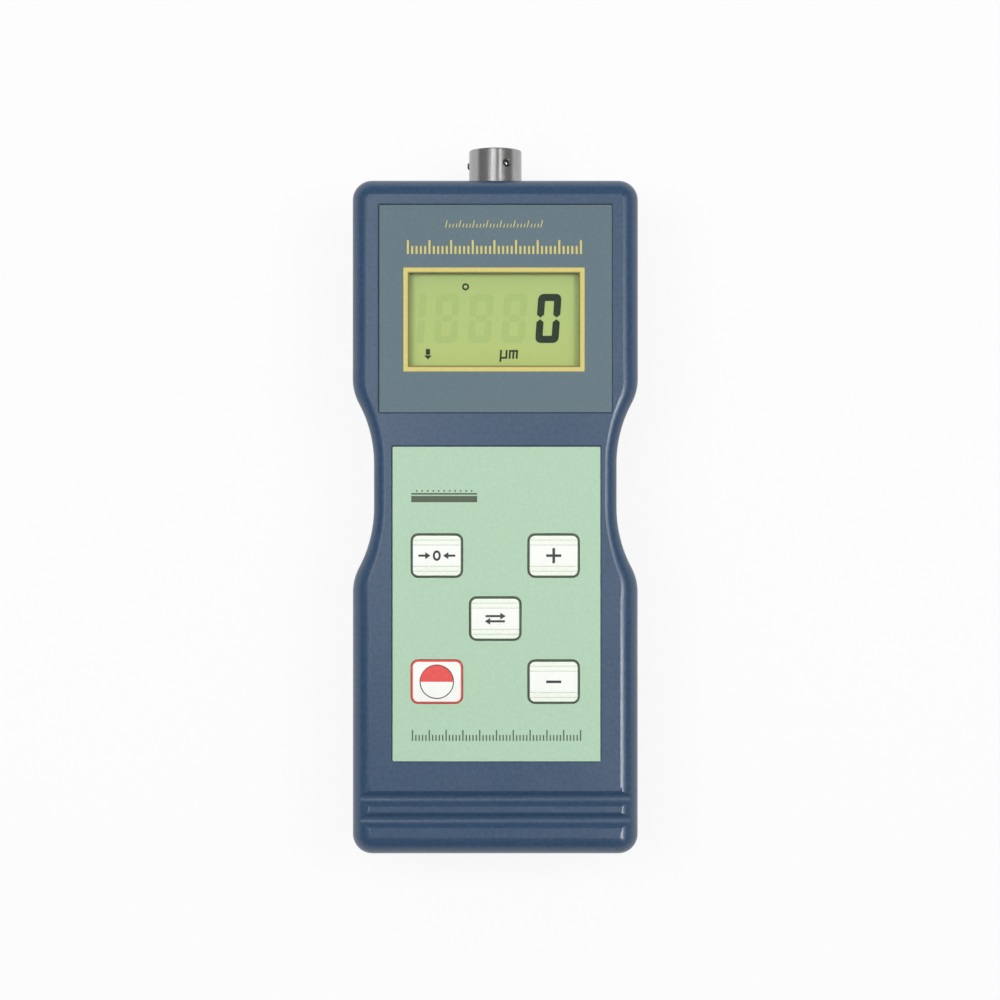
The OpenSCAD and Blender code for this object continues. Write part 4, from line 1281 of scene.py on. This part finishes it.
class GAUGE_OT_display_panel(bpy.types.Operator):
    """Display panel with the printed frame of the window and its scales"""

    bl_idname = "gauge.display_panel"
    bl_label = "Display Panel"

    def execute(self, context):
        face, colours = context.scene.gauge_face, context.scene.gauge_colours
        size, place, corner = span("display_panel"), middle("display_panel"), 0.15 * MM
        w, l = face.window_width, face.window_length
        panel = plate(
            "display_panel_sheet", face.panel_shift, place.y, size.x, size.y, face.sheet_corner,
            sheet_levels(),
            plastic("panel_satin", colours.panel_grey, 0.44, grain=5200.0, depth=0.005 * MM,
                    spread=0.05, level=0.30),
        )
        carve(panel, plate("window", face.window_shift, WINDOW.y, w, l, corner,
                           flared(POCKET_Z - CUT, SHEET_TOP, SHEET_SOFT, SHEET_TOP + CUT)))
        dress(smooth(panel), "housing", "panel_grey", "display_panel")
        yellow = ink("ink_yellow", colours.frame_yellow)
        # Painted shade: a dark olive line round the inside of the window stands in for the shadow that its
        # wall throws.
        shade_ink = ink("ink_olive", (0.25, 0.21, 0.045))
        for name, outer, inner, finish in (
            ("window_frame_line", face.frame_width, face.frame_shade, yellow),
            ("window_inner_line", face.frame_shade, SHEET_SOFT, shade_ink),
        ):
            faces = band(
                round_rect(face.window_shift, WINDOW.y, w + 2 * outer, l + 2 * outer, corner, 5),
                round_rect(face.window_shift, WINDOW.y, w + 2 * inner, l + 2 * inner, 0.1 * MM, 5),
            )
            dress(print_ink(name, faces, level(SHEET_TOP + face.ink), finish), "housing", "panel_grey")
        scale_marks("panel_scale_marks", "panel_grey", yellow, face.ink, count=41, every=5, pitch=1.03,
                    width=0.46, short=1.9, tall=3.3, x=-0.2, y=62.7)
        scale_marks("panel_fine_marks", "panel_grey", yellow, face.ink, count=29, every=4, pitch=0.81,
                    width=0.2, short=0.9, tall=1.7, x=-0.3, y=69.0, slant=-14)
        return {"FINISHED"}


def half_digit(x, y, w, h, t, r, gap, up):
    """Upper or lower half of a digit as a strip of faces, with pointed ends towards the middle."""
    s = 1 if up else -1
    end = y + s * (gap + 0.4 * t)
    outer = [(x - w / 2, end)] + arc(x - w / 2 + r, y + s * (h / 2 - r), r, 180, 180 - 90 * s, 5)
    outer += arc(x + w / 2 - r, y + s * (h / 2 - r), r, 90 * s, 0, 5) + [(x + w / 2, end)]
    q = max(r - t, 0.2 * MM)
    a, b = w / 2 - t, h / 2 - t
    inner = [(x - a, end)] + arc(x - a + q, y + s * (b - q), q, 180, 180 - 90 * s, 5)
    inner += arc(x + a - q, y + s * (b - q), q, 90 * s, 0, 5) + [(x + a, end)]
    tips = [[(x + d * w / 2, end), (x + d * (w - t) / 2, y + s * gap), (x + d * a, end)] for d in (-1, 1)]
    return band(outer, inner, closed=False) + tips


def unit_marks(slant):
    """Faces of the unit, the probe sign and the ring on the display."""
    s, x, y, h, leg = 0.46 * MM, 1.25 * MM, 37.9 * MM, 2.1 * MM, 1.35 * MM
    faces = [bar(x, y - 0.75 * MM, x, y + h, s), bar(x + s / 2, y + s / 2, x + leg - s / 2, y + s / 2, s),
             bar(x + leg, y, x + leg, y + h, s)]
    m, pitch, top = x + 2.15 * MM, 0.85 * MM, y + h - s / 2
    faces += [bar(m + k * pitch, y, m + k * pitch, y + h, s) for k in range(3)]
    faces += [bar(m + s / 2 + k * pitch, top, m + (k + 1) * pitch - s / 2, top, s) for k in range(2)]
    faces = [lean(f, x, y, slant) for f in faces]
    px, py, shaft, wing = -16.1 * MM, 37.75 * MM, 0.5 * MM, 0.95 * MM
    faces += [[(px - shaft, py + 1.1 * MM), (px + shaft, py + 1.1 * MM),
               (px + shaft, py + 2.5 * MM), (px - shaft, py + 2.5 * MM)],
              [(px - wing, py + wing), (px, py), (px + wing, py + wing)]]
    return faces + band(*[disc(-7.1 * MM, 55.1 * MM, r, steps=24) for r in (0.85 * MM, 0.42 * MM)])


class GAUGE_OT_display(bpy.types.Operator):
    """Display glass with its segments, and the clear window over it"""

    bl_idname = "gauge.display"
    bl_label = "Display"

    def execute(self, context):
        colours = context.scene.gauge_colours
        low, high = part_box("display_glass")
        size = high - low
        step, edge = low.z + size.z / 2, 0.12 * MM
        glass = plate("display_glass_front", 0, WINDOW.y, size.x, size.y, INNER_CORNER,
                      [(step, 0), (high.z - edge, 0), (high.z, -edge)], display_finish(colours))
        carve(glass, plate("rear_plate", 0, WINDOW.y, size.x, size.y - 4.4 * MM, INNER_CORNER,
                           [(low.z, 0), (step + CUT / 2, 0)]), how="UNION")
        dress(smooth(glass), "housing", "display_green", "display_glass")
        dark = ink("display_segments_dark", colours.segment, 0.5, 0.08)
        faint = ink("display_segments_faint", [0.89 * c for c in colours.display_green], 0.5, 0.3)
        top = level(GLASS_TOP + 0.012 * MM)
        slant = math.tan(math.radians(4))
        w, h, t, y = 5.6 * MM, 11.75 * MM, 1.72 * MM, 47.55 * MM
        last, pitch, one = 12.7, 8.1, -17.6 * MM

        def digit(x, middle_bar):
            faces = [f for up in (True, False) for f in half_digit(x, y, w, h, t, 1.35 * MM, 0.2 * MM, up)]
            if middle_bar:
                far, near, rise = w / 2 - 0.75 * t, w / 2 - 1.15 * t, t / 2
                faces.append([(x - far, y), (x - near, y - rise), (x + near, y - rise),
                              (x + far, y), (x + near, y + rise), (x - near, y + rise)])
            return [lean(f, x, y, slant) for f in faces]

        reading = print_ink("display_reading", digit(last * MM, False), top, dark)
        dress(reading, "housing", "display_green")
        ghosts = [f for i in (1, 2, 3) for f in digit((last - pitch * i) * MM, True)]
        ghosts += [lean(bar(one, y + d * 0.4 * MM, one, y + d * h / 2, t), one, y, slant) for d in (-1, 1)]
        dress(print_ink("display_idle_segments", ghosts, top, faint), "housing", "display_green")
        dress(print_ink("display_unit_marks", unit_marks(slant), top, dark), "housing", "display_green")
        size, edge = span("window_lens"), 0.1 * MM
        lens = plate(
            "window_lens_clear", 0, WINDOW.y, size.x, size.y, context.scene.gauge_face.sheet_corner,
            [(LENS_Z, -edge), (LENS_Z + edge, 0), (POCKET_Z - edge, 0), (POCKET_Z, -edge)], lens_finish(),
        )
        dress(smooth(lens), "housing", "lens_clear", "window_lens")
        return {"FINISHED"}


class GAUGE_OT_keypad(bpy.types.Operator):
    """Keypad sheet with its printed marks"""

    bl_idname = "gauge.keypad"
    bl_label = "Keypad Sheet"

    def execute(self, context):
        face, colours = context.scene.gauge_face, context.scene.gauge_colours
        size, place = span("keypad_sheet"), middle("keypad_sheet")
        sheet = plate(
            "keypad_sheet_printed", face.keypad_shift, place.y - face.keypad_shift / 3, size.x, size.y,
            face.sheet_corner, sheet_levels(),
            plastic("keypad_satin", colours.keypad_green, 0.46, grain=5200.0, depth=0.005 * MM,
                    spread=0.035, level=0.28),
        )
        through = flared(POCKET_Z - CUT, SHEET_TOP, SHEET_SOFT, SHEET_TOP + CUT)
        carve(sheet, *[key_hole(key, face, face.key_gap, through) for key in KEYS])
        dress(smooth(sheet), "housing", "keypad_green", "keypad_sheet")
        green = ink("ink_dark_green", colours.ink_green)
        scale_marks("keypad_scale_marks", "keypad_green", green, face.ink, count=51, every=5, pitch=0.8,
                    width=0.32, short=1.4, tall=2.6, x=0.3, y=-53.2)
        x0, x1, y, parts = -20 * MM, -4.3 * MM, 3.6 * MM, 12
        layers = [bar(x0, y + up, x1, y + up, w) for up, w in ((0.75 * MM, 1.5 * MM), (2.0 * MM, 0.4 * MM))]
        ticks = [x0 + k * (x1 - x0) / parts for k in range(1, parts)]
        layers += [bar(x, y + 2.5 * MM, x, y + 2.9 * MM, 0.35 * MM) for x in ticks]
        mark = print_ink("keypad_layer_mark", layers, level(SHEET_TOP + face.ink), green)
        dress(mark, "housing", "keypad_green")
        return {"FINISHED"}


def crown_height(face, y):
    return KEY_TOP - face.key_crown + math.sqrt(face.key_crown ** 2 - y * y)


def key_cap(key, face, white, outline):
    """Key with a crowned top, rounded edge, printed outline, keeper flange and stem."""
    place = middle(key + "_key")
    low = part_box(key + "_key")[0].z
    flange_low, flange_top, reach = 28.6 * MM, 29.5 * MM, 1.6 * MM
    w, l, r, e, line = face.key_width, face.key_length, face.key_corner, face.key_edge, face.key_outline
    turns = [math.pi / 2 * i / 5 for i in range(6)]
    levels = [(0.0, -6 * MM), *[(e * (1 - math.cos(a)), -e * (1 - math.sin(a))) for a in turns], (line, 0.0)]
    rings = [
        [(x, y, z) for x, y in round_rect(0, 0, w - 2 * s, l - 2 * s, max(r - s, 0.2 * MM), 8)]
        for s, z in levels
    ]
    cap = loft(key + "_key_cap", rings, white, outline)
    bm = opened(cap)
    y = -l / 2 + 0.4 * MM
    while y < l / 2:
        bmesh.ops.bisect_plane(bm, geom=bm.verts[:] + bm.edges[:] + bm.faces[:], plane_co=(0, y, 0),
                               plane_no=(0, 1, 0), dist=1e-7)
        y += 0.6 * MM
    for f in bm.faces:
        c = f.calc_center_median()
        dx, dy = abs(c.x) - (w / 2 - r), abs(c.y) - (l / 2 - r)
        inside = r - math.hypot(max(dx, 0), max(dy, 0)) - min(max(dx, dy), 0)
        if c.z > -e and inside < line:
            f.material_index = 1
    for v in bm.verts:
        v.co.z = crown_height(face, v.co.y) + v.co.z if v.co.z > -MM else flange_low
        v.co.x += place.x
        v.co.y += place.y
    put_back(bm, cap)
    flange = plate("flange", place.x, place.y, w + reach, l + reach, r, [(flange_low, 0), (flange_top, 0)])
    stem = rod("stem", place.x, place.y, 1.7 * MM, low, flange_top - CUT / 2)
    return smooth(carve(cap, flange, stem, how="UNION"))


def key_symbol(key, cx, cy):
    """Faces of the sign on a key."""
    stroke, reach = 0.62 * MM, 1.8 * MM
    if key == "minus":
        return [bar(cx - reach, cy, cx + reach, cy, stroke)]
    if key == "plus":
        a, b = reach, stroke / 2
        shape = [(-a, -b), (-b, -b), (-b, -a), (b, -a), (b, -b), (a, -b),
                 (a, b), (b, b), (b, a), (-b, a), (-b, b), (-a, b)]
        return [[(cx + x, cy + y) for x, y in shape]]
    faces = []
    if key == "zero":
        faces = band(oval(cx, cy, 0.95 * MM, 1.25 * MM), oval(cx, cy, 0.45 * MM, 0.72 * MM))
    for d in (-MM, MM):
        if key == "zero":
            faces += arrow(cx + 4.4 * d, cx + 2.75 * d, cx + 1.5 * d, cy, 0.5 * MM, 0.85 * MM)
        else:
            faces += arrow(cx - 2.3 * d, cx + 1.2 * d, cx + 2.5 * d, cy + 0.62 * d, 0.5 * MM, 0.8 * MM)
    return faces


class GAUGE_OT_keys(bpy.types.Operator):
    """Five keys with printed outlines and symbols"""

    bl_idname = "gauge.keys"
    bl_label = "Keys"

    def execute(self, context):
        face, colours = context.scene.gauge_face, context.scene.gauge_colours
        white = plastic("key_satin", colours.key_white, 0.42, grain=6000.0, depth=0.003 * MM, spread=0.015,
                        level=0.35)
        green = ink("ink_dark_green", colours.ink_green)
        red = ink("ink_red", colours.ink_red)
        grey = ink("ink_pale_grey", (0.60, 0.66, 0.57))
        cream = ink("ink_cream", (0.86, 0.92, 0.81), 0.42)
        dark = ink("ink_charcoal", (0.035, 0.040, 0.036))
        margin, sign_r = face.key_outline + 0.05 * MM, 4.1 * MM
        half, edge = face.key_width / 2 - margin, face.key_length / 2 - margin
        turn = face.key_corner - face.key_outline
        for key in KEYS:
            cx, cy, _ = middle(key + "_key")
            cap = key_cap(key, face, white, red if key == "power" else green)
            dress(cap, key + "_button", "key_white", key + "_key")

            def stamp(name, faces, material, lower=0.0):
                def top(x, y):
                    return crown_height(face, y - cy) + face.ink - lower

                piece = print_ink(f"{key}_key_{name}", faces, top, material, 0.04 * MM, rows=0.35 * MM)
                dress(piece, key + "_button", "key_white")

            if key == "power":
                stamp("red_half", [disc(cx, cy, sign_r - 0.1 * MM, 0, 180, 32)], red)
                stamp("ring", band(disc(cx, cy, sign_r), disc(cx, cy, sign_r - 0.24 * MM)), dark)
                continue
            bands = [[(cx - half, cy + d * 2.52 * MM), (cx + half, cy + d * 2.52 * MM),
                      (cx + half, cy + d * (edge - turn)), (cx + half - turn, cy + d * edge),
                      (cx - half + turn, cy + d * edge), (cx - half, cy + d * (edge - turn))]
                     for d in (-1, 1)]
            stamp("bands", bands, cream, face.ink / 2)
            stamp("lines", [bar(cx - half, cy + d * MM, cx + half, cy + d * MM, 0.18 * MM)
                            for d in (-3.7, -2.52, 2.52, 3.7)], grey)
            stamp("symbol", key_symbol(key, cx, cy), dark)
        return {"FINISHED"}


class GAUGE_OT_probe_socket(bpy.types.Operator):
    """Turned probe socket with bayonet pins, insert and contacts"""

    bl_idname = "gauge.probe_socket"
    bl_label = "Probe Socket"

    def execute(self, context):
        rgb = context.scene.gauge_colours.socket_metal
        plain = metal("socket_turned", rgb, 0.17, (0, 1, 0), 7000.0, depth=0.0012 * MM, spread=0.07,
                      wear=0.025, plating=0.78)
        blackened = metal("pin_blackened", (0.20, 0.20, 0.205), 0.14, (0, 1, 0), 5000.0, depth=0.0005 * MM,
                          wear=0.02)
        gold = metal("contact_gilt", (0.78, 0.52, 0.20), 0.24, (0, 1, 0), 9000.0)
        black = plastic("insert_moulded", (0.018, 0.018, 0.019), 0.5, grain=6000.0, level=0.4)
        low, mouth = SOCKET_LOW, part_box("socket_shell")[1].y
        bore, floor, neck, seat = 5.1 * MM, mouth - 6.2 * MM, 5.375 * MM, 4.4 * MM
        r, e, soft, wide = SOCKET_RADIUS, 0.3 * MM, 0.1 * MM, FLANGE_RADIUS
        shell = turned(
            "socket_shell_turned",
            [(neck, low), (neck, FLANGE_LOW), (wide - soft, FLANGE_LOW), (wide, FLANGE_LOW + soft),
             (wide, FLANGE_TOP - soft), (wide - soft, FLANGE_TOP), (r, FLANGE_TOP), (r, mouth - e),
             (r - 0.05 * MM, mouth - 0.14 * MM), (r - 0.15 * MM, mouth - 0.04 * MM), (r - e, mouth),
             (bore + 0.25 * MM, mouth), (bore + 0.07 * MM, mouth - 0.07 * MM), (bore, mouth - 0.25 * MM),
             (bore, floor), (seat, floor), (seat, low)],
            along_socket(), plain, steps=96,
        )
        # The two end caps of the loft give way to the ring between the neck and the insert's seat
        bm = opened(shell)
        bmesh.ops.delete(bm, geom=[f for f in bm.faces if len(f.verts) > 8], context="FACES_ONLY")
        at_end = [v for v in bm.verts if abs(v.co.y - low) < 1e-7]
        ends = [[v for v in at_end if abs(math.hypot(v.co.x, v.co.z - SOCKET_Z) - q) < 1e-6]
                for q in (neck, seat)]
        for ring in ends:
            ring.sort(key=lambda v: math.atan2(v.co.z - SOCKET_Z, v.co.x))
        for corners in band(*ends):
            bm.faces.new(corners)
        bmesh.ops.recalc_face_normals(bm, faces=bm.faces)
        put_back(bm, shell)
        keyways, half = [], 0.45 * MM
        for i in range(5):
            tool = box("keyway", (-0.5 * MM, floor + 0.1 * MM, bore - half),
                       (0.5 * MM, mouth + CUT, bore + half))
            turn = Matrix.Rotation(math.tau * i / 5, 4, "Y")
            tool.data.transform(Matrix.Translation((0, 0, SOCKET_Z)) @ turn)
            keyways.append(tool)
        rise, pin, gap, foot = 0.45 * MM, 0.9 * MM, 0.2 * MM, 0.02 * MM
        at = middle("bayonet_pins").y
        places = [((0, at, SOCKET_Z), (0, math.radians(26 + 120 * i), 0)) for i in range(3)]
        wells = [turned("pin_well", [(pin + gap, r - 2 * gap), (pin + gap, r + CUT)],
                        Matrix.Translation(p) @ Matrix.Rotation(turn[1], 4, "Y"), steps=32)
                 for p, turn in places]
        carve(shell, *keyways, *wells)
        dress(smooth(shell), "housing", "socket_metal", "socket_shell")
        turns = [math.pi / 2 * i / 8 for i in range(1, 8)]
        profile = [(pin, -0.6 * MM), (pin, foot)]
        profile += [(pin * math.cos(a), foot + (rise - foot) * math.sin(a)) for a in turns]
        profile.append((0.03 * pin, rise))
        dome = turned("pin", profile, Matrix.Translation((0, 0, r)), steps=32)
        piece = smooth(set_out("bayonet_pins_domed", dome, places, blackened))
        dress(piece, "housing", "pin_dark", "bayonet_pins")
        finished_copy("socket_insert", "_finished", 0.06 * MM, black, "insert_black")
        finished_copy("socket_contacts", "_finished", 0.06 * MM, gold, "contact_gold")
        return {"FINISHED"}


class GAUGE_OT_battery_bay(bpy.types.Operator):
    """Four cells with their springs and contact plates"""

    bl_idname = "gauge.battery_bay"
    bl_label = "Battery Bay"

    def execute(self, context):
        steel = metal("spring_nickel", context.scene.gauge_colours.steel, 0.26, (0.7, 0.3, 0.6), 8000.0)
        sleeve = plastic("cell_sleeve", (0.022, 0.024, 0.030), 0.30, grain=2500.0, depth=0.003 * MM,
                         spread=0.06, level=0.5)
        copper = metal("cell_band", (0.56, 0.27, 0.11), 0.30, (0, 1, 0), 3000.0, depth=0.002 * MM)
        tin = metal("cell_ends", (0.60, 0.60, 0.58), 0.28, (0.8, 0.2, 0.5), 6000.0)
        r, nub, full, wire = 5.25 * MM, 1.9 * MM, span("cell_1").y, 0.35 * MM
        body, band_at = full - 1.1 * MM, full - 12 * MM
        cells, springs = [f"cell_{i}" for i in range(1, 5)], [f"cell_spring_{i}" for i in range(1, 5)]
        cell_places, spring_places = [], []
        for i, (cell, spring) in enumerate(zip(cells, springs)):
            up = i % 2 == 0
            turn = (math.radians(-90 if up else 90), 0, 0)
            low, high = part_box(cell)
            mid = middle(cell)
            cell_places.append(((mid.x, low.y if up else high.y, mid.z), turn))
            coil_low, coil_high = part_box(spring)
            end = coil_low.y + wire if up else coil_high.y - wire
            spring_places.append((((coil_low.x + coil_high.x) / 2, end, low.z + r), turn))
        parts = (
            ("cell_sleeves", sleeve, cells,
             [(r - 0.9 * MM, 0.02 * MM), (r - 0.35 * MM, 0.02 * MM), (r - 0.05 * MM, 0.25 * MM),
              (r, 0.5 * MM), (r, band_at), (r - 0.3 * MM, band_at)]),
            ("cell_bands", copper, [],
             [(r - 0.3 * MM, band_at), (r, band_at), (r, body - 0.6 * MM), (r - 0.1 * MM, body - 0.25 * MM),
              (r - 0.45 * MM, body - 0.02 * MM), (r - 1.1 * MM, body - 0.02 * MM)]),
            ("cell_ends", tin, [],
             [(r - 1.0 * MM, 0.0), (r - 0.8 * MM, 0.3 * MM), (r - 0.8 * MM, body - 0.35 * MM),
              (r - 1.2 * MM, body - 0.1 * MM), (nub + 0.5 * MM, body - 0.05 * MM),
              (nub + 0.1 * MM, body + 0.1 * MM), (nub, full - 0.3 * MM), (nub - 0.3 * MM, full)]),
        )
        for name, finish, nodes, profile in parts:
            pattern = turned("pattern", profile, Matrix(), steps=64)
            dress(smooth(set_out(name, pattern, cell_places, finish)), "housing", "cell_wrap", *nodes)
        coil = grow("coil", coil_tree(), Material=steel)
        coil.data.materials.clear()
        piece = set_out("cell_springs_coiled", coil, spring_places, steel)
        dress(smooth(piece, 60), "housing", "spring_steel", *springs)
        for node in ("upper_contact_left", "upper_contact_right", "lower_contact_minus",
                     "lower_contact_bridge", "lower_contact_plus"):
            finished_copy(node, "_pressed", 0.08 * MM, steel, "spring_steel")
        return {"FINISHED"}


class GAUGE_OT_inner_parts(bpy.types.Operator):
    """Finishes of the board and of the other parts inside the case"""

    bl_idname = "gauge.inner_parts"
    bl_label = "Inner Parts"

    def execute(self, context):
        black = plastic("chip_moulded", (0.012, 0.012, 0.013), 0.55, grain=5000.0, level=0.4)
        rubber = plastic("strip_rubber", (0.05, 0.05, 0.055), 0.75, grain=3000.0, level=0.3)
        red = plastic("plunger_red", (0.45, 0.035, 0.022), 0.42, grain=4000.0)
        finishes = {
            "display_holder": plastic("holder_moulded", (0.020, 0.020, 0.022), 0.5, grain=4000.0, level=0.4),
            "upper_strip": rubber,
            "lower_strip": rubber,
            "main_board": board_finish(),
            "board_screws": steel_finish(context.scene.gauge_colours),
            "processor_chip": black,
            "amplifier_chip": black,
            "crystal": metal("can_drawn", (0.58, 0.58, 0.60), 0.25, (1, 0, 0), 5000.0),
            "capacitor": plastic("capacitor_sleeve", (0.020, 0.024, 0.075), 0.35, grain=3000.0, level=0.5),
            "socket_leads": plastic("lead_grey", (0.50, 0.50, 0.47), 0.5, grain=3000.0),
            "battery_lead_minus": plastic("lead_black", (0.006, 0.006, 0.006), 0.45, grain=3000.0),
            "battery_lead_plus": plastic("lead_red", (0.38, 0.008, 0.006), 0.45, grain=3000.0),
        }
        for key in KEYS:
            finishes[key + "_switch"] = black
            finishes[key + "_plunger"] = red
        for node, finish in finishes.items():
            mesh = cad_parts[node].data
            mesh.materials.clear()
            mesh.materials.append(finish)
        return {"FINISHED"}


def soft_lamp(name, place, target, width, height, power, mirrored=True, lights=True):
    """Rectangular lamp that faces a point, unseen by the camera.

    mirrored lets gloss and glass show it, and lights lets matt surfaces catch its light.
    """
    lamp = bpy.data.lights.new(name, "AREA")
    lamp.shape = "RECTANGLE"
    lamp.size, lamp.size_y, lamp.energy = width, height, power
    holder = bpy.data.objects.new(name, lamp)
    back = (Vector(place) - Vector(target)).normalized()
    along = (Vector((0, 1, 0)) - back * back.y).normalized()
    turn = Matrix((along.cross(back), along, back)).transposed()
    holder.matrix_world = Matrix.Translation(place) @ turn.to_4x4()
    holder.visible_camera = False
    holder.visible_diffuse = lights
    holder.visible_glossy = mirrored
    holder.visible_transmission = mirrored
    bpy.context.scene.collection.objects.link(holder)


def seen_directly(tree):
    """1 for rays that show the background: from the camera, by reflection or through glass."""
    path = add_node(tree, "ShaderNodeLightPath")
    first = maths(tree, "MAXIMUM", path.outputs["Is Camera Ray"], path.outputs["Is Glossy Ray"])
    return maths(tree, "MAXIMUM", first, path.outputs["Is Transmission Ray"])


class GAUGE_OT_stage(bpy.types.Operator):
    """Pale floor, soft lamps, white background and the camera over the face"""

    bl_idname = "gauge.stage"
    bl_label = "Stage"

    def execute(self, context):
        scene, studio = context.scene, context.scene.gauge_studio
        scene.view_settings.view_transform = "Standard"
        lens = bpy.data.cameras.new("camera")
        lens.sensor_width = 36
        lens.lens = studio.lens
        lens.clip_start, lens.clip_end = 0.01, 20
        camera = bpy.data.objects.new("camera", lens)
        camera.location = (studio.camera_x, studio.camera_y, studio.camera_height)
        scene.collection.objects.link(camera)
        scene.camera = camera
        world = bpy.data.worlds.new("studio")
        scene.world = world
        world.use_nodes = True
        tree = world.node_tree
        tree.nodes.clear()
        direction = add_node(tree, "ShaderNodeTexCoord").outputs["Generated"]
        up = add_node(tree, "ShaderNodeSeparateXYZ", {0: direction}).outputs["Z"]
        path = add_node(tree, "ShaderNodeLightPath")
        walls = remap(tree, up, 0.04, 0.30, 0.0, 1 - studio.wall_tone)
        dim = times(tree, walls, path.outputs["Is Glossy Ray"])
        shown = mix_colours(tree, dim, (1, 1, 1, 1), (0, 0, 0, 1))
        level = studio.room_light
        tone = mix_colours(tree, seen_directly(tree), (level, level, level, 1), shown)
        back = add_node(tree, "ShaderNodeBackground", {"Color": tone, "Strength": 1.0})
        result = tree.nodes.new("ShaderNodeOutputWorld")
        tree.links.new(back.outputs[0], result.inputs["Surface"])
        bm = bmesh.new()
        bmesh.ops.create_grid(bm, x_segments=2, y_segments=2, size=6)
        bmesh.ops.translate(bm, verts=bm.verts, vec=(0, 0, -0.05 * MM))
        material, tree, shader = new_material("floor_paper", Specular_IOR_Level=0.1, Roughness=0.9)
        fibres = noise(tree, object_place(tree), 300.0, 3.0)
        paper = mix_colours(tree, fibres, (0.80, 0.80, 0.80, 1), (0.84, 0.84, 0.84, 1))
        tree.links.new(paper, shader.inputs["Base Color"])
        glow = add_node(tree, "ShaderNodeEmission", {"Color": (1, 1, 1, 1), "Strength": 1.0})
        amount = times(tree, seen_directly(tree), 1 - studio.floor_share)
        mixed = add_node(tree, "ShaderNodeMixShader", {0: amount, 1: shader.outputs[0], 2: glow.outputs[0]})
        tree.links.new(mixed.outputs[0], tree.nodes["Material Output"].inputs["Surface"])
        make_piece("floor", bm, material)
        target = (0, 0, 0.02)
        soft_lamp("front_softbox", (0.0, 0.15, 0.95), target, 0.34, 0.34, studio.front_light, False)
        soft_lamp("head_softbox", (-0.10, 0.70, 0.70), target, 0.6, 0.4, studio.head_light, False)
        soft_lamp("left_softbox", (-0.30, 0.045, 0.95), target, 0.42, 0.29, studio.left_light)
        soft_lamp("right_softbox", (0.415, 0.045, 0.95), target, 0.57, 0.29, studio.right_light)
        soft_lamp("right_strip", (0.42, -0.25, 0.88), target, 0.16, 0.40, studio.strip_light, lights=False)
        for name, x in (("left_fill", -0.42), ("right_fill", 0.42)):
            soft_lamp(name, (x, 0.15, 0.85), target, 0.3, 0.3, studio.fill_light, False)
        for name, x, width in (("socket_left", -0.12, 0.34), ("socket_right", 0.38, 0.16)):
            soft_lamp(name, (x, 0.27, 0.95), target, width, 0.10, studio.socket_light * width)
        return {"FINISHED"}


class GAUGE_PT_parts(bpy.types.Panel):
    """Sizes, colours and pieces of the gauge"""

    bl_label = "Coating Thickness Gauge"
    bl_idname = "GAUGE_PT_parts"
    bl_space_type = "VIEW_3D"
    bl_region_type = "UI"
    bl_category = "Gauge"

    def draw(self, context):
        for group in GROUPS:
            part = self.layout.box()
            part.label(text=group.split("_")[1].title())
            settings = getattr(context.scene, group)
            for name in settings.__annotations__:
                part.prop(settings, name)
        for operator in OPERATORS:
            self.layout.operator(operator.bl_idname)


OPERATORS = (
    GAUGE_OT_stage, GAUGE_OT_front_cover, GAUGE_OT_rear_cover, GAUGE_OT_battery_door, GAUGE_OT_case_screws,
    GAUGE_OT_display_panel, GAUGE_OT_display, GAUGE_OT_keypad, GAUGE_OT_keys, GAUGE_OT_probe_socket,
    GAUGE_OT_battery_bay, GAUGE_OT_inner_parts,
)
GROUPS = {
    "gauge_case": CaseSizes, "gauge_face": FaceSizes, "gauge_colours": FinishColours,
    "gauge_studio": StudioSettings,
}


def register():
    for kind in (*GROUPS.values(), *OPERATORS, GAUGE_PT_parts):
        bpy.utils.register_class(kind)
    for name, kind in GROUPS.items():
        setattr(bpy.types.Scene, name, bpy.props.PointerProperty(type=kind))


def unregister():
    for name in GROUPS:
        delattr(bpy.types.Scene, name)
    for kind in (GAUGE_PT_parts, *reversed(OPERATORS), *GROUPS.values()):
        bpy.utils.unregister_class(kind)


def main():
    register()
    for operator in OPERATORS:
        family, name = operator.bl_idname.split(".")
        getattr(getattr(bpy.ops, family), name)()


if __name__ == "__main__":
    main()
